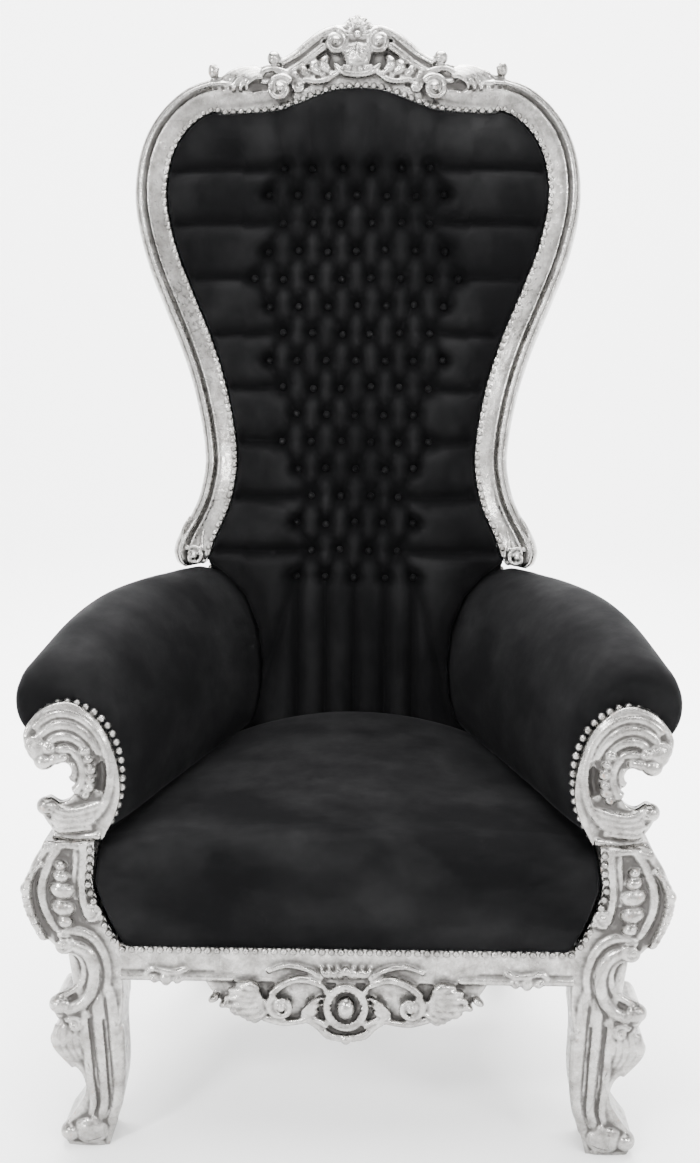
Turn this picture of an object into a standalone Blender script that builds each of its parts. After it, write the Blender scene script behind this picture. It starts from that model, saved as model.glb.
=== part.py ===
"""A high-backed baroque throne: silver-leafed carving round black velvet upholstery.

Metres, +Z up. The front faces -Y; left and right are those of someone facing it, so left is at -X.
The origin lies on the floor, under the middle of the whole throne.
"""
import math

import bmesh
import bpy
from mathutils import Matrix, Vector

# Gap kept between pieces that touch, and the wider gap beside carved edges.
TOUCH_GAP = 0.0003
CARVED_GAP = 0.004
# How far the flat ground of a leg or an arm scroll, and the line its carving stands on, lie behind the
# foremost point of the carving.
GROUND_SET_BACK = 0.010
RELIEF_SET_BACK = 0.012
# Extra length left on a carved blank before its ends are cut flat.
CUT_SPARE = 0.01

# Seat frame: height of the rails' top, and the rails' own height and thickness.
RAIL_TOP = 0.345
RAIL_HEIGHT = 0.056
RAIL_THICKNESS = 0.036

# Front legs and arm scrolls: one carved plate each, side by side with the front rail.
LEG_INNER_X = 0.342
LEG_WIDTH = 0.146
LEG_HEIGHT = 0.508
LEG_BACK_Y = -0.290
LEG_THICKNESS = 0.074
SCROLL_INNER_X = 0.336
SCROLL_WIDTH = 0.146
SCROLL_HEIGHT = 0.214
SCROLL_THICKNESS = 0.062

# Front rail: its plain band and the carved cartouche that hangs below it.
FRONT_RAIL_Y = -0.362
CARTOUCHE_DROP = 0.158
CARTOUCHE_HALF_WIDTH = 0.215
CARVING_RISE = 0.016

# Back: a leaning frame whose own origin lies between its lowest lobes.
BACK_Y = 0.155
BACK_Z = 0.820
BACK_LEAN = math.radians(10)
BACK_HALF_WIDTH = 0.3685
BACK_FRAME_HEIGHT = 0.845
FRAME_WIDTH = 0.058
FRAME_FRONT = -0.036
FRAME_REAR = 0.030
STILE_LOBE_SIZES = (0.62, 0.98, 1.14, 1.14, 1.10, 1.04)  # of the frame's width, up from its foot
CREST_HALF_WIDTH = 0.268
CREST_HEIGHT = 0.165
PAD_CROWN = -0.034
PAD_CROWN_SHARE = 0.90
PAD_EDGE_DROP = 0.020
PAD_REAR = 0.004
OUTSIDE_BACK_REAR = 0.035

# Arms: the padded roll and the panel below it, at the front end and at the back end.
ARM_ROLL_FRONT = {"x": 0.430, "z": LEG_HEIGHT + 0.200, "radius": 0.070}
ARM_ROLL_REAR = {"x": 0.283, "z": 0.773, "radius": 0.050}
ARM_BULGE_FRONT = {"x": 0.338, "z": LEG_HEIGHT + 0.102}
ARM_BULGE_REAR = {"x": 0.168, "z": 0.650}
ARM_CREASE_FRONT = {"x": 0.376, "z": LEG_HEIGHT - 0.008}
ARM_CREASE_REAR = {"x": 0.209, "z": 0.530}
ARM_PANEL_FRONT_X = 0.392
ARM_PANEL_REAR_X = 0.300
ARM_BOW_OUT = 0.024
ARM_BOW_UP = 0.026
ARM_STATIONS = 6

# Seat: crowned cushion between the arms, rolled over at the front.
SEAT_FRONT_Y = -0.366
SEAT_FRONT_ROLL = 0.045
SEAT_SIDE_DROP = 0.004
SEAT_CROWN_FRONT = 0.014
SEAT_CROWN_REAR = 0.046

# Back legs: square blocks in the corners, swept back to the feet.
BACK_LEG_INNER_X = 0.236
BACK_LEG_WIDTH = 0.064
BACK_LEG_FRONT_Y = 0.045
BACK_LEG_DEPTH = 0.065
BACK_FOOT_Y = 0.272
BACK_FOOT_OUT = 0.012

# Fineness of the carving: voxel edge and the faces kept for each piece.
CARVING_VOXEL = 0.0036
LEG_FACES = 960
SCROLL_FACES = 540
CREST_HALF_FACES = 900
FRONT_RAIL_HALF_FACES = 500


def clear_objects():
    """Remove whatever the scene holds, so that the throne stands alone."""
    for old in list(bpy.data.objects):
        bpy.data.objects.remove(old, do_unlink=True)


def make_material(name, colour, metallic, roughness):
    """A plain surface of one colour."""
    material = bpy.data.materials.new(name)
    material.use_nodes = True
    shader = material.node_tree.nodes["Principled BSDF"]
    shader.inputs["Base Color"].default_value = (*colour, 1)
    shader.inputs["Metallic"].default_value = metallic
    shader.inputs["Roughness"].default_value = roughness
    return material


def mix(start, end, share):
    """The value a share of the way from start to end."""
    return start + (end - start) * share


def smooth_line(points, steps, closed=False):
    """A rounded line through the points, with the given steps from each to the next."""
    points = [Vector(point) for point in points]
    count = len(points)
    line = []
    spans = count if closed else count - 1
    for span in range(spans):
        if closed:
            a, b, c, d = (points[(span + k - 1) % count] for k in range(4))
        else:
            b, c = points[span], points[span + 1]
            a = points[span - 1] if span > 0 else b * 2 - c
            d = points[span + 2] if span + 2 < count else c * 2 - b
        for step in range(steps):
            t = step / steps
            line.append(0.5 * (2 * b + (c - a) * t + (2 * a - 5 * b + 4 * c - d) * t * t
                               + (3 * b - a - 3 * c + d) * t ** 3))
    if not closed:
        line.append(points[-1].copy())
    return line


def ring_profile(sides):
    """A circle of unit radius."""
    return [(math.cos(2 * math.pi * k / sides), math.sin(2 * math.pi * k / sides))
            for k in range(sides)]


def sweep(mesh, profile, path, sizes):
    """Carry a closed profile along a path, scaled at each point, with flat ends.

    The profile's first direction lies across the path, its second one points to the front.
    """
    frames = []
    for index, point in enumerate(path):
        before = path[max(index - 1, 0)]
        after = path[min(index + 1, len(path) - 1)]
        along = (after - before).normalized()
        across = along.cross(Vector((0, -1, 0))).normalized()
        front = along.cross(across).normalized() * -1
        frame = Matrix((across, front, along)).transposed().to_4x4()
        frame.translation = point
        frames.append(frame @ Matrix.Scale(sizes[index], 4))
    corners = [mesh.verts.new(frames[0] @ Vector((u, v, 0))) for u, v in profile]
    first = mesh.faces.new(corners)
    face = first
    for frame, following in zip(frames, frames[1:]):
        grown = bmesh.ops.extrude_face_region(mesh, geom=[face])["geom"]
        moved = [item for item in grown if isinstance(item, bmesh.types.BMVert)]
        if face is not first:
            bmesh.ops.delete(mesh, geom=[face], context="FACES_ONLY")
        face = next(item for item in grown if isinstance(item, bmesh.types.BMFace))
        bmesh.ops.transform(mesh, matrix=following @ frame.inverted(), verts=moved)


def loft(mesh, rings):
    """Skin a row of rings that have the same number of points, and close both ends."""
    rows = [[mesh.verts.new(point) for point in ring] for ring in rings]
    count = len(rows[0])
    for row, following in zip(rows, rows[1:]):
        for k in range(count):
            mesh.faces.new((row[k], row[(k + 1) % count],
                            following[(k + 1) % count], following[k]))
    mesh.faces.new(rows[0])
    mesh.faces.new(rows[-1])


class Carving:
    """Shapes laid into one another, to be fused into one carved body."""

    def __init__(self):
        self.mesh = bmesh.new()

    def slab(self, outline, front, back):
        """A plate with the given outline in X and Z, from front to back."""
        corners = [self.mesh.verts.new((point[0], front, point[1])) for point in outline]
        face = self.mesh.faces.new(corners)
        grown = bmesh.ops.extrude_face_region(self.mesh, geom=[face])["geom"]
        moved = [item for item in grown if isinstance(item, bmesh.types.BMVert)]
        bmesh.ops.translate(self.mesh, vec=(0, back - front, 0), verts=moved)

    def rib(self, points, thick_start, thick_end, steps=3, swell=0.0):
        """A round strand through the points, tapering, with a swelling in its middle."""
        path = smooth_line(points, steps)
        last = len(path) - 1
        sizes = [mix(thick_start, thick_end, k / last) + swell * math.sin(math.pi * k / last)
                 for k in range(last + 1)]
        sweep(self.mesh, ring_profile(8), path, sizes)

    def lobe(self, centre, size, turn=0.0):
        """An egg of the given half sizes along X, Y and Z, turned in the front plane."""
        place = Matrix.Translation(centre) @ Matrix.Rotation(turn, 4, "Y")
        place = place @ Matrix.Diagonal((*size, 1))
        bmesh.ops.create_icosphere(self.mesh, subdivisions=2, radius=1, matrix=place)

    def volute(self, centre, radius, turns, start, thick, sense=1):
        """A spiral strand that winds in to an eye; start is its outer angle."""
        count = max(6, int(turns * 12))
        points = []
        for k in range(count + 1):
            share = k / count
            angle = start + sense * share * turns * 2 * math.pi
            reach = mix(radius, radius * 0.28, share)
            points.append((centre[0] + reach * math.cos(angle), centre[1],
                           centre[2] + reach * math.sin(angle)))
        self.rib(points, thick, thick * 0.55, steps=1)
        eye = radius * 0.34
        self.lobe((centre[0], centre[1] - thick * 0.5, centre[2]), (eye, eye, eye))


def carve_mesh(carving, voxel, faces):
    """Fuse a carving into one skin and thin it to about the given number of faces."""
    mesh = bpy.data.meshes.new("carving")
    bmesh.ops.recalc_face_normals(carving.mesh, faces=carving.mesh.faces)
    carving.mesh.to_mesh(mesh)
    carving.mesh.free()
    block = bpy.data.objects.new("carving", mesh)
    bpy.context.scene.collection.objects.link(block)
    fuse = block.modifiers.new("fuse", "REMESH")
    fuse.mode = "VOXEL"
    fuse.voxel_size = voxel
    soften = block.modifiers.new("soften", "SMOOTH")
    soften.factor = 0.5
    soften.iterations = 2
    fused = bpy.data.meshes.new_from_object(evaluated(block))
    count = sum(len(face.vertices) - 2 for face in fused.polygons)
    thin = block.modifiers.new("thin", "DECIMATE")
    thin.ratio = min(1, faces / count)
    thinned = bmesh.new()
    thinned.from_mesh(bpy.data.meshes.new_from_object(evaluated(block)))
    bpy.data.objects.remove(block)
    keep_largest(thinned)
    return thinned


def evaluated(thing):
    """The object as its modifiers leave it."""
    bpy.context.view_layer.update()
    return thing.evaluated_get(bpy.context.evaluated_depsgraph_get())


def keep_largest(mesh):
    """Drop every loose island but the one with the most points."""
    left = set(mesh.verts)
    islands = []
    while left:
        island = {left.pop()}
        edge = list(island)
        while edge:
            point = edge.pop()
            for link in point.link_edges:
                other = link.other_vert(point)
                if other in left:
                    left.discard(other)
                    island.add(other)
                    edge.append(other)
        islands.append(island)
    islands.sort(key=len)
    for island in islands[:-1]:
        bmesh.ops.delete(mesh, geom=list(island), context="VERTS")


def cut_flat(mesh, place, outward, close=True):
    """Cut away what lies outside a plane and close the cut with flat faces."""
    geometry = list(mesh.verts) + list(mesh.edges) + list(mesh.faces)
    cut = bmesh.ops.bisect_plane(mesh, geom=geometry, dist=0.00002, plane_co=place,
                                 plane_no=outward, clear_outer=True)["geom_cut"]
    if close:
        rim = [item for item in cut if isinstance(item, bmesh.types.BMEdge)]
        bmesh.ops.holes_fill(mesh, edges=rim, sides=0)


def mirror_across_middle(mesh):
    """Keep the half at +X, and add its mirror image, welded along the middle."""
    cut_flat(mesh, (0, 0, 0), (-1, 0, 0), close=False)
    for vert in mesh.verts:
        if abs(vert.co.x) < 0.00005:
            vert.co.x = 0
    copy = bmesh.ops.duplicate(mesh, geom=list(mesh.verts) + list(mesh.edges)
                               + list(mesh.faces))["geom"]
    points = [item for item in copy if isinstance(item, bmesh.types.BMVert)]
    flipped = [item for item in copy if isinstance(item, bmesh.types.BMFace)]
    bmesh.ops.scale(mesh, vec=(-1, 1, 1), verts=points)
    bmesh.ops.reverse_faces(mesh, faces=flipped)
    middle = [vert for vert in mesh.verts if vert.co.x == 0]
    bmesh.ops.remove_doubles(mesh, verts=middle, dist=0.00001)


def add_piece(name, mesh, material, parent, flip=False, smooth=False):
    """Make a named object from a mesh, or from its mirror image across the middle."""
    built = mesh.copy()
    if flip:
        bmesh.ops.scale(built, vec=(-1, 1, 1), verts=built.verts)
    bmesh.ops.remove_doubles(built, verts=built.verts, dist=0.00001)
    bmesh.ops.dissolve_degenerate(built, edges=built.edges, dist=0.00001)
    bmesh.ops.triangulate(built, faces=built.faces)
    bmesh.ops.recalc_face_normals(built, faces=built.faces)
    data = bpy.data.meshes.new(name)
    built.to_mesh(data)
    built.free()
    if smooth:
        data.shade_smooth()
        data.set_sharp_from_angle(angle=math.radians(40))
    data.materials.append(material)
    piece = bpy.data.objects.new(name, data)
    bpy.context.scene.collection.objects.link(piece)
    piece.parent = parent
    return piece


def add_pair(name, mesh, material, parent, smooth=True):
    """The same piece on both sides; the mesh given is the one at +X."""
    add_piece(name + "_right", mesh, material, parent, smooth=smooth)
    add_piece(name + "_left", mesh, material, parent, flip=True, smooth=smooth)
    mesh.free()


def back_plane_y(z, depth):
    """Y of the leaning plane that lies the given depth behind the back frame's origin."""
    return BACK_Y + (z - BACK_Z) * math.tan(BACK_LEAN) + depth / math.cos(BACK_LEAN)


def leg_inner_edge(z):
    """X of a front leg's edge beside the seat cushion, by height."""
    shares = [(0.0, 0.0), (0.18, 0.11), (0.38, 0.20), (0.60, 0.27), (0.80, 0.235), (1.0, 0.23)]
    share = min(max((z - RAIL_TOP) / (LEG_HEIGHT - RAIL_TOP), 0), 1)
    for (low, inward), (high, outward) in zip(shares, shares[1:]):
        if share <= high:
            part = (share - low) / (high - low)
            return LEG_INNER_X + LEG_WIDTH * mix(inward, outward, part)
    return LEG_INNER_X + LEG_WIDTH * shares[-1][1]


def front_leg():
    """The carved leg at +X: foot, knee, open C-scroll and the support under the arm."""
    def at(out, up):
        return (LEG_INNER_X + out * LEG_WIDTH, up * LEG_HEIGHT)

    front = LEG_BACK_Y - LEG_THICKNESS
    outer = [at(0.59, -0.03), at(0.68, 0.02), at(0.69, 0.06), at(0.57, 0.11), at(0.44, 0.18),
             at(0.49, 0.25), at(0.73, 0.32), at(0.79, 0.365), at(0.68, 0.415), at(0.75, 0.46),
             at(0.68, 0.505), at(0.56, 0.518), at(0.42, 0.56), at(0.38, 0.59), at(0.43, 0.625),
             at(0.56, 0.645), at(0.70, 0.67), at(0.84, 0.725), at(0.95, 0.79), at(0.985, 0.855),
             at(0.90, 0.915), at(0.82, 0.955), at(0.70, 1.03)]
    inner_z = [mix(LEG_HEIGHT * 1.03, RAIL_TOP, k / 6) for k in range(7)]
    inner = [(leg_inner_edge(z), z) for z in inner_z]
    below = [at(-0.03, 0.62), at(-0.03, 0.52), at(0.03, 0.40), at(0.03, 0.23), at(0.10, 0.11),
             at(0.19, 0.02), at(0.21, -0.03)]
    outline = smooth_line(outer, 2) + inner + smooth_line(below, 2)
    body = Carving()
    body.slab(outline, front + GROUND_SET_BACK, LEG_BACK_Y + CUT_SPARE)

    def spot(out, up, rise=0.0):
        x, z = at(out, up)
        return (x, front + RELIEF_SET_BACK - rise, z)

    # Two ribs run down the shin to the scrolled foot.
    for shift in (0.10, 0.25):
        body.rib([spot(0.10 + shift, 0.53), spot(0.06 + shift, 0.36), spot(0.05 + shift, 0.22),
                  spot(0.13 + shift, 0.11), spot(0.25 + shift, 0.05)], 0.0065, 0.006)
    body.lobe(spot(0.46, 0.055), (0.030, 0.018, 0.022))
    body.lobe(spot(0.64, 0.045), (0.018, 0.016, 0.014))
    # Knee: three gadroons that lean out over the ankle.
    for k in range(3):
        body.lobe(spot(0.48 + 0.10 * k, 0.355 - 0.012 * k), (0.009, 0.014, 0.034), 0.5 + 0.1 * k)
    # Open C-scroll beside the rail, with a ball at its upper end and a lobe at its lower end.
    hollow = [spot(0.30, 0.69), spot(0.42, 0.715), spot(0.56, 0.70), spot(0.60, 0.665)]
    body.rib(hollow, 0.008, 0.006)
    body.lobe(spot(0.56, 0.672, 0.006), (0.012, 0.014, 0.011))
    body.rib([spot(0.30, 0.68), spot(0.26, 0.60), spot(0.32, 0.53), spot(0.48, 0.475),
              spot(0.66, 0.475)], 0.008, 0.009)
    body.lobe(spot(0.66, 0.475, 0.003), (0.015, 0.014, 0.012))
    # Support under the arm: a ribbon ending in a volute, big gadroons and a ruffled edge.
    body.rib([spot(0.32, 0.97), spot(0.36, 0.90), spot(0.38, 0.84), spot(0.36, 0.80)], 0.007, 0.007)
    body.volute(spot(0.28, 0.785, 0.002), 0.012, 1.1, 0.4, 0.0055, 1)
    for up, size in ((0.895, 0.021), (0.835, 0.023), (0.775, 0.017)):
        body.lobe(spot(0.56, up), (size, 0.017, size * 0.72), -0.35)
    for k in range(7):
        share = k / 6
        out = 0.80 + 0.15 * math.sin(math.pi * share ** 0.8)
        body.lobe(spot(out, mix(0.915, 0.70, share), 0.002), (0.013, 0.015, 0.0085), 0.5 - share)
    body.rib([spot(0.34, 0.70), spot(0.50, 0.74), spot(0.66, 0.76), spot(0.78, 0.83),
              spot(0.76, 0.92)], 0.006, 0.005)
    skin = carve_mesh(body, CARVING_VOXEL, LEG_FACES)
    cut_flat(skin, (0, 0, 0), (0, 0, -1))
    cut_flat(skin, (0, 0, LEG_HEIGHT), (0, 0, 1))
    cut_flat(skin, (0, LEG_BACK_Y, 0), (0, 1, 0))
    cut_flat(skin, (LEG_INNER_X, 0, 0), (-1, 0, 0))
    return skin


def arm_scroll():
    """The carved C at +X that faces the arm's front end."""
    def at(out, up):
        return (SCROLL_INNER_X + out * SCROLL_WIDTH, LEG_HEIGHT + up * SCROLL_HEIGHT)

    front = LEG_BACK_Y - SCROLL_THICKNESS
    outline = smooth_line([at(0.28, -0.05), at(0.14, 0.07), at(0.03, 0.24), at(0.00, 0.42),
                           at(0.05, 0.64), at(0.17, 0.83), at(0.36, 0.96), at(0.56, 1.00),
                           at(0.78, 0.94), at(0.94, 0.81), at(0.96, 0.70), at(0.86, 0.58),
                           at(0.74, 0.525), at(0.62, 0.56), at(0.50, 0.54), at(0.43, 0.43),
                           at(0.50, 0.31), at(0.62, 0.27), at(0.74, 0.31), at(0.83, 0.24),
                           at(0.78, 0.14), at(0.71, 0.06), at(0.70, -0.05)], 2, closed=True)
    body = Carving()
    body.slab(outline, front + GROUND_SET_BACK, LEG_BACK_Y + CUT_SPARE)

    def spot(out, up, rise=0.0):
        x, z = at(out, up)
        return (x, front + RELIEF_SET_BACK - rise, z)

    # Nested leaf ridges follow the curve over the top of the arm.
    for reach, thick in ((0.93, 0.005), (0.74, 0.0055), (0.56, 0.0055)):
        points = []
        for k in range(7):
            angle = mix(math.radians(20), math.radians(215), k / 6)
            points.append(spot(0.50 + 0.47 * reach * math.cos(angle),
                               0.52 + 0.46 * reach * math.sin(angle)))
        body.rib(points, thick, thick * 0.8, steps=2)
    body.lobe(spot(0.74, 0.66, 0.004), (0.021, 0.015, 0.023))
    # A chain of round lobes down the inner band.
    for k in range(5):
        angle = math.radians(150 + 22 * k)
        body.lobe(spot(0.52 + 0.29 * math.cos(angle), 0.46 + 0.30 * math.sin(angle), 0.002),
                  (0.011, 0.013, 0.010))
    # Leaf fan at the lower tip.
    for k in range(4):
        body.rib([spot(0.30 + 0.02 * k, 0.16 - 0.03 * k), spot(0.50, 0.20 - 0.03 * k),
                  spot(0.74 - 0.02 * k, 0.26 - 0.055 * k)], 0.004, 0.008)
    body.lobe(spot(0.745, 0.225, 0.002), (0.013, 0.014, 0.014))
    skin = carve_mesh(body, CARVING_VOXEL, SCROLL_FACES)
    cut_flat(skin, (0, 0, LEG_HEIGHT + TOUCH_GAP), (0, 0, -1))
    cut_flat(skin, (0, LEG_BACK_Y, 0), (0, 1, 0))
    return skin


def front_rail():
    """The front rail's band, and its carved cartouche round an oval boss."""
    half_length = LEG_INNER_X - TOUCH_GAP
    top = RAIL_TOP
    low = RAIL_TOP - RAIL_HEIGHT
    back = FRONT_RAIL_Y + RAIL_THICKNESS

    def at(out, down):
        return (out * CARTOUCHE_HALF_WIDTH, top - down * CARTOUCHE_DROP)

    body = Carving()
    body.slab([(-0.03, low), (half_length + CUT_SPARE, low), (half_length + CUT_SPARE, top + CUT_SPARE),
               (-0.03, top + CUT_SPARE)], FRONT_RAIL_Y, back + CUT_SPARE)
    drop = smooth_line([at(-0.12, 0.97), at(0.0, 1.0), at(0.14, 0.97), at(0.22, 0.86),
                        at(0.33, 0.78), at(0.45, 0.80), at(0.60, 0.745), at(0.78, 0.66),
                        at(0.92, 0.52), at(1.0, 0.36)], 2)
    body.slab([(point.x, point.y) for point in drop] + [at(1.0, 0.1), at(-0.12, 0.1)],
              FRONT_RAIL_Y + 0.004, back - 0.006)

    def spot(out, down, rise=0.0):
        x, z = at(out, down)
        return (x, FRONT_RAIL_Y - rise, z)

    # A bead runs under the cloth and another along the lower edge of the band.
    body.rib([(-0.03, FRONT_RAIL_Y, top - 0.012), (half_length + CUT_SPARE, FRONT_RAIL_Y, top - 0.012)],
             0.0045, 0.0045)
    body.rib([(0.19, FRONT_RAIL_Y, low + 0.005), (half_length + CUT_SPARE, FRONT_RAIL_Y, low + 0.005)],
             0.006, 0.006)
    # Oval boss in its ring, with a small ball above and below.
    body.lobe(spot(0, 0.60, 0.004), (0.017, CARVING_RISE, 0.021))
    ring = [spot(0.145 * math.cos(math.radians(a)), 0.60 - 0.21 * math.sin(math.radians(a)), 0.003)
            for a in range(-110, 111, 20)]
    body.rib(ring, 0.006, 0.006, steps=1)
    for down in (0.235, 0.955):
        body.lobe(spot(0, down, 0.004), (0.008, 0.012, 0.008))
    # Scrolls sweep out of the ring into volutes.
    body.rib([spot(0.14, 0.42, 0.002), spot(0.24, 0.33, 0.004), spot(0.38, 0.35, 0.004),
              spot(0.50, 0.46, 0.002)], 0.006, 0.007)
    body.volute(spot(0.45, 0.58, 0.003), 0.020, 1.25, math.radians(60), 0.0065, -1)
    body.rib([spot(0.12, 0.82, 0.002), spot(0.24, 0.72, 0.004), spot(0.33, 0.74, 0.003),
              spot(0.45, 0.74, 0.002)], 0.005, 0.007)
    # Acanthus fingers fan out beyond the volutes.
    for k in range(5):
        turn = math.radians(-68 + 24 * k)
        reach = 0.30 - 0.015 * k
        start = spot(0.53 + 0.02 * k, 0.60 - 0.05 * k, 0.002)
        middle = spot(0.53 + reach * 0.6 * math.cos(turn), 0.55 - reach * 0.75 * math.sin(turn) - 0.1,
                      0.006)
        end = spot(0.56 + reach * math.cos(turn), 0.50 - reach * 0.85 * math.sin(turn), 0.0)
        body.rib([start, middle, end], 0.005, 0.006, swell=0.004)
    # A small leaf cluster sits on the band near each leg.
    for k in range(3):
        body.lobe((0.262 + 0.014 * k, FRONT_RAIL_Y - 0.002, low + 0.004), (0.006, 0.009, 0.013),
                  math.radians(-35 + 35 * k))
    skin = carve_mesh(body, CARVING_VOXEL, FRONT_RAIL_HALF_FACES)
    cut_flat(skin, (0, 0, top), (0, 0, 1))
    cut_flat(skin, (half_length, 0, 0), (1, 0, 0))
    cut_flat(skin, (0, back, 0), (0, 1, 0))
    mirror_across_middle(skin)
    return skin


def stile_path():
    """Centre line of the moulded frame at +X, from its lowest lobe up to the crest."""
    shares = [(0.790, 0.008), (0.800, 0.034), (0.775, 0.066), (0.735, 0.100), (0.688, 0.148),
              (0.658, 0.213), (0.660, 0.262), (0.680, 0.325), (0.722, 0.405), (0.785, 0.487),
              (0.863, 0.570), (0.939, 0.655), (0.988, 0.738), (1.000, 0.800), (0.982, 0.862),
              (0.936, 0.914), (0.865, 0.955), (0.780, 0.984), (0.690, 0.998)]
    points = [(out * BACK_HALF_WIDTH, 0, up * BACK_FRAME_HEIGHT) for out, up in shares]
    return smooth_line(points, 2)


def back_stile():
    """The moulded frame member at +X: a cove outside, a ridge, a groove and a broad flat."""
    half = FRAME_WIDTH / 2
    profile = [(-half, 0.012), (-half * 0.2, 0.026), (-half * 0.02, 0.021), (half * 0.18, 0.034),
               (half * 0.48, 0.035), (half * 0.78, 0.014), (half, 0.006), (half * 0.92, -0.030),
               (-half * 0.92, -0.030), (-half, -0.020)]
    path = stile_path()
    sizes = [1.0] * len(path)
    for k, size in enumerate(STILE_LOBE_SIZES):
        sizes[k] = size
    mesh = bmesh.new()
    sweep(mesh, profile, path, sizes)
    place, along = crest_joint()
    cut_flat(mesh, place - along * TOUCH_GAP, along)
    return mesh


def crest_joint():
    """Where the stile at +X meets the crest rail, and the direction from one to the other."""
    path = stile_path()
    for point, following in zip(path, path[1:]):
        if following.z > BACK_FRAME_HEIGHT / 2 and following.x < CREST_HALF_WIDTH:
            return following, (following - point).normalized()
    return path[-1], (path[-1] - path[-2]).normalized()


def crest_lower_edge():
    """Lower edge of the crest rail, from the middle out, as X and height."""
    base = BACK_FRAME_HEIGHT
    drops = [(0.0, 0.086), (0.145, 0.068), (0.27, 0.006), (0.40, -0.078), (0.537, -0.152),
             (0.80, -0.186), (1.0, -0.190)]
    return smooth_line([(out * CREST_HALF_WIDTH, base + rise * CREST_HEIGHT)
                        for out, rise in drops], 2)


def crest_rail():
    """The carved crest: shell, shield, scrolls and leaf fans, between the two stiles."""
    def at(out, up):
        return (out * CREST_HALF_WIDTH, BACK_FRAME_HEIGHT + up * CREST_HEIGHT)

    upper = smooth_line([at(-0.12, 0.60), at(0.0, 0.72), at(0.13, 0.67), at(0.26, 0.62),
                         at(0.34, 0.51), at(0.42, 0.40), at(0.50, 0.315), at(0.58, 0.32),
                         at(0.70, 0.27), at(0.84, 0.23), at(0.95, 0.17), at(1.06, 0.11)], 2)
    lower = [(point.x, point.y) for point in crest_lower_edge()]
    body = Carving()
    outline = [(point.x, point.y) for point in upper]
    outline += [at(1.06, -0.19)] + lower[::-1] + [at(-0.12, 0.08)]
    body.slab(outline, FRAME_FRONT + 0.020, FRAME_REAR + 0.008)

    def spot(out, up, rise=0.0):
        x, z = at(out, up)
        return (x, FRAME_FRONT + 0.018 - rise, z)

    # The frame's own ridge and inner flat run on into the carving.
    body.rib([spot(1.06, -0.02, 0.012), spot(0.90, 0.08, 0.012), spot(0.72, 0.14, 0.010),
              spot(0.60, 0.12, 0.006)], 0.010, 0.008)
    body.rib([spot(1.06, -0.12, 0.002), spot(0.80, -0.11, 0.002), spot(0.58, -0.09, 0.002)],
             0.012, 0.010)
    # Shell of seven fluted lobes over a small ball.
    for k in range(4):
        turn = math.radians(90 - 24 * k)
        reach = 0.052 - 0.0035 * k
        start = spot(0.0, 0.42)
        end = (reach * math.cos(turn), start[1] + 0.002, start[2] + 0.004 + reach * math.sin(turn))
        middle = (reach * 0.55 * math.cos(turn), start[1] - 0.010,
                  start[2] + 0.004 + reach * 0.6 * math.sin(turn))
        body.rib([start, middle, end], 0.005, 0.0085)
        body.lobe(end, (0.0095, 0.012, 0.0085), math.pi / 2 - turn)
    body.lobe(spot(0, 0.47, 0.010), (0.009, 0.010, 0.009))
    # Lobed shield with a raised rib down its middle, and a crescent below it.
    body.lobe(spot(0, 0.28, 0.002), (0.026, 0.015, 0.030))
    body.rib([spot(0, 0.45, 0.010), spot(0, 0.28, 0.017), spot(0, 0.13, 0.008)], 0.005, 0.004)
    body.lobe(spot(0.085, 0.34, 0.002), (0.012, 0.014, 0.016), -0.4)
    body.rib([spot(-0.05, 0.075, 0.006), spot(0.08, 0.085, 0.006), spot(0.17, 0.14, 0.004)],
             0.006, 0.004)
    # Big volutes beside the shield, and the arch that falls away from each.
    body.volute(spot(0.145, 0.53, 0.006), 0.019, 1.35, math.radians(100), 0.0068, 1)
    body.rib([spot(0.145, 0.66, 0.006), spot(0.24, 0.625, 0.006), spot(0.33, 0.53, 0.005),
              spot(0.41, 0.42, 0.004), spot(0.50, 0.33, 0.002)], 0.009, 0.006)
    body.rib([spot(0.22, 0.50, 0.002), spot(0.31, 0.42, 0.004), spot(0.42, 0.32, 0.002)],
             0.007, 0.005)
    body.lobe(spot(0.55, 0.385, 0.002), (0.010, 0.012, 0.010))
    # Leaf and bead work under the arch.
    for k in range(4):
        body.lobe(spot(0.17 + 0.07 * k, 0.30 - 0.035 * k, 0.004), (0.0085, 0.012, 0.013),
                  math.radians(-40 + 12 * k))
    # A low scroll runs out to a small volute, then a larger one at the shoulder.
    body.rib([spot(0.10, 0.17, 0.005), spot(0.20, 0.17, 0.006), spot(0.30, 0.15, 0.006),
              spot(0.39, 0.16, 0.004)], 0.006, 0.006)
    body.volute(spot(0.385, 0.105, 0.005), 0.011, 1.0, math.radians(90), 0.005, -1)
    body.volute(spot(0.515, 0.03, 0.006), 0.021, 1.35, math.radians(150), 0.0066, -1)
    # A swirling fan of gadroons beyond the shoulder volute.
    for k in range(5):
        turn = math.radians(78 - 27 * k)
        reach = 0.24 + 0.015 * k
        start = spot(0.55 + 0.012 * k, 0.12 - 0.02 * k, 0.004)
        middle = spot(0.60 + reach * 0.45 * math.cos(turn), 0.10 + reach * 0.8 * math.sin(turn),
                      0.010)
        end = spot(0.60 + reach * math.cos(turn), 0.06 + reach * 0.9 * math.sin(turn) * 0.9, 0.004)
        body.rib([start, middle, end], 0.005, 0.007, swell=0.003)
    body.lobe(spot(0.965, 0.265, -0.006), (0.009, 0.010, 0.010))
    skin = carve_mesh(body, CARVING_VOXEL, CREST_HALF_FACES)
    place, along = crest_joint()
    cut_flat(skin, place, -along)
    cut_flat(skin, (0, FRAME_REAR, 0), (0, 1, 0))
    mirror_across_middle(skin)
    return skin


def lerp_spot(front, rear, share):
    """X and Z a share of the way from the arm's front station to its rear one."""
    return mix(front["x"], rear["x"], share), mix(front["z"], rear["z"], share)


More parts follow.
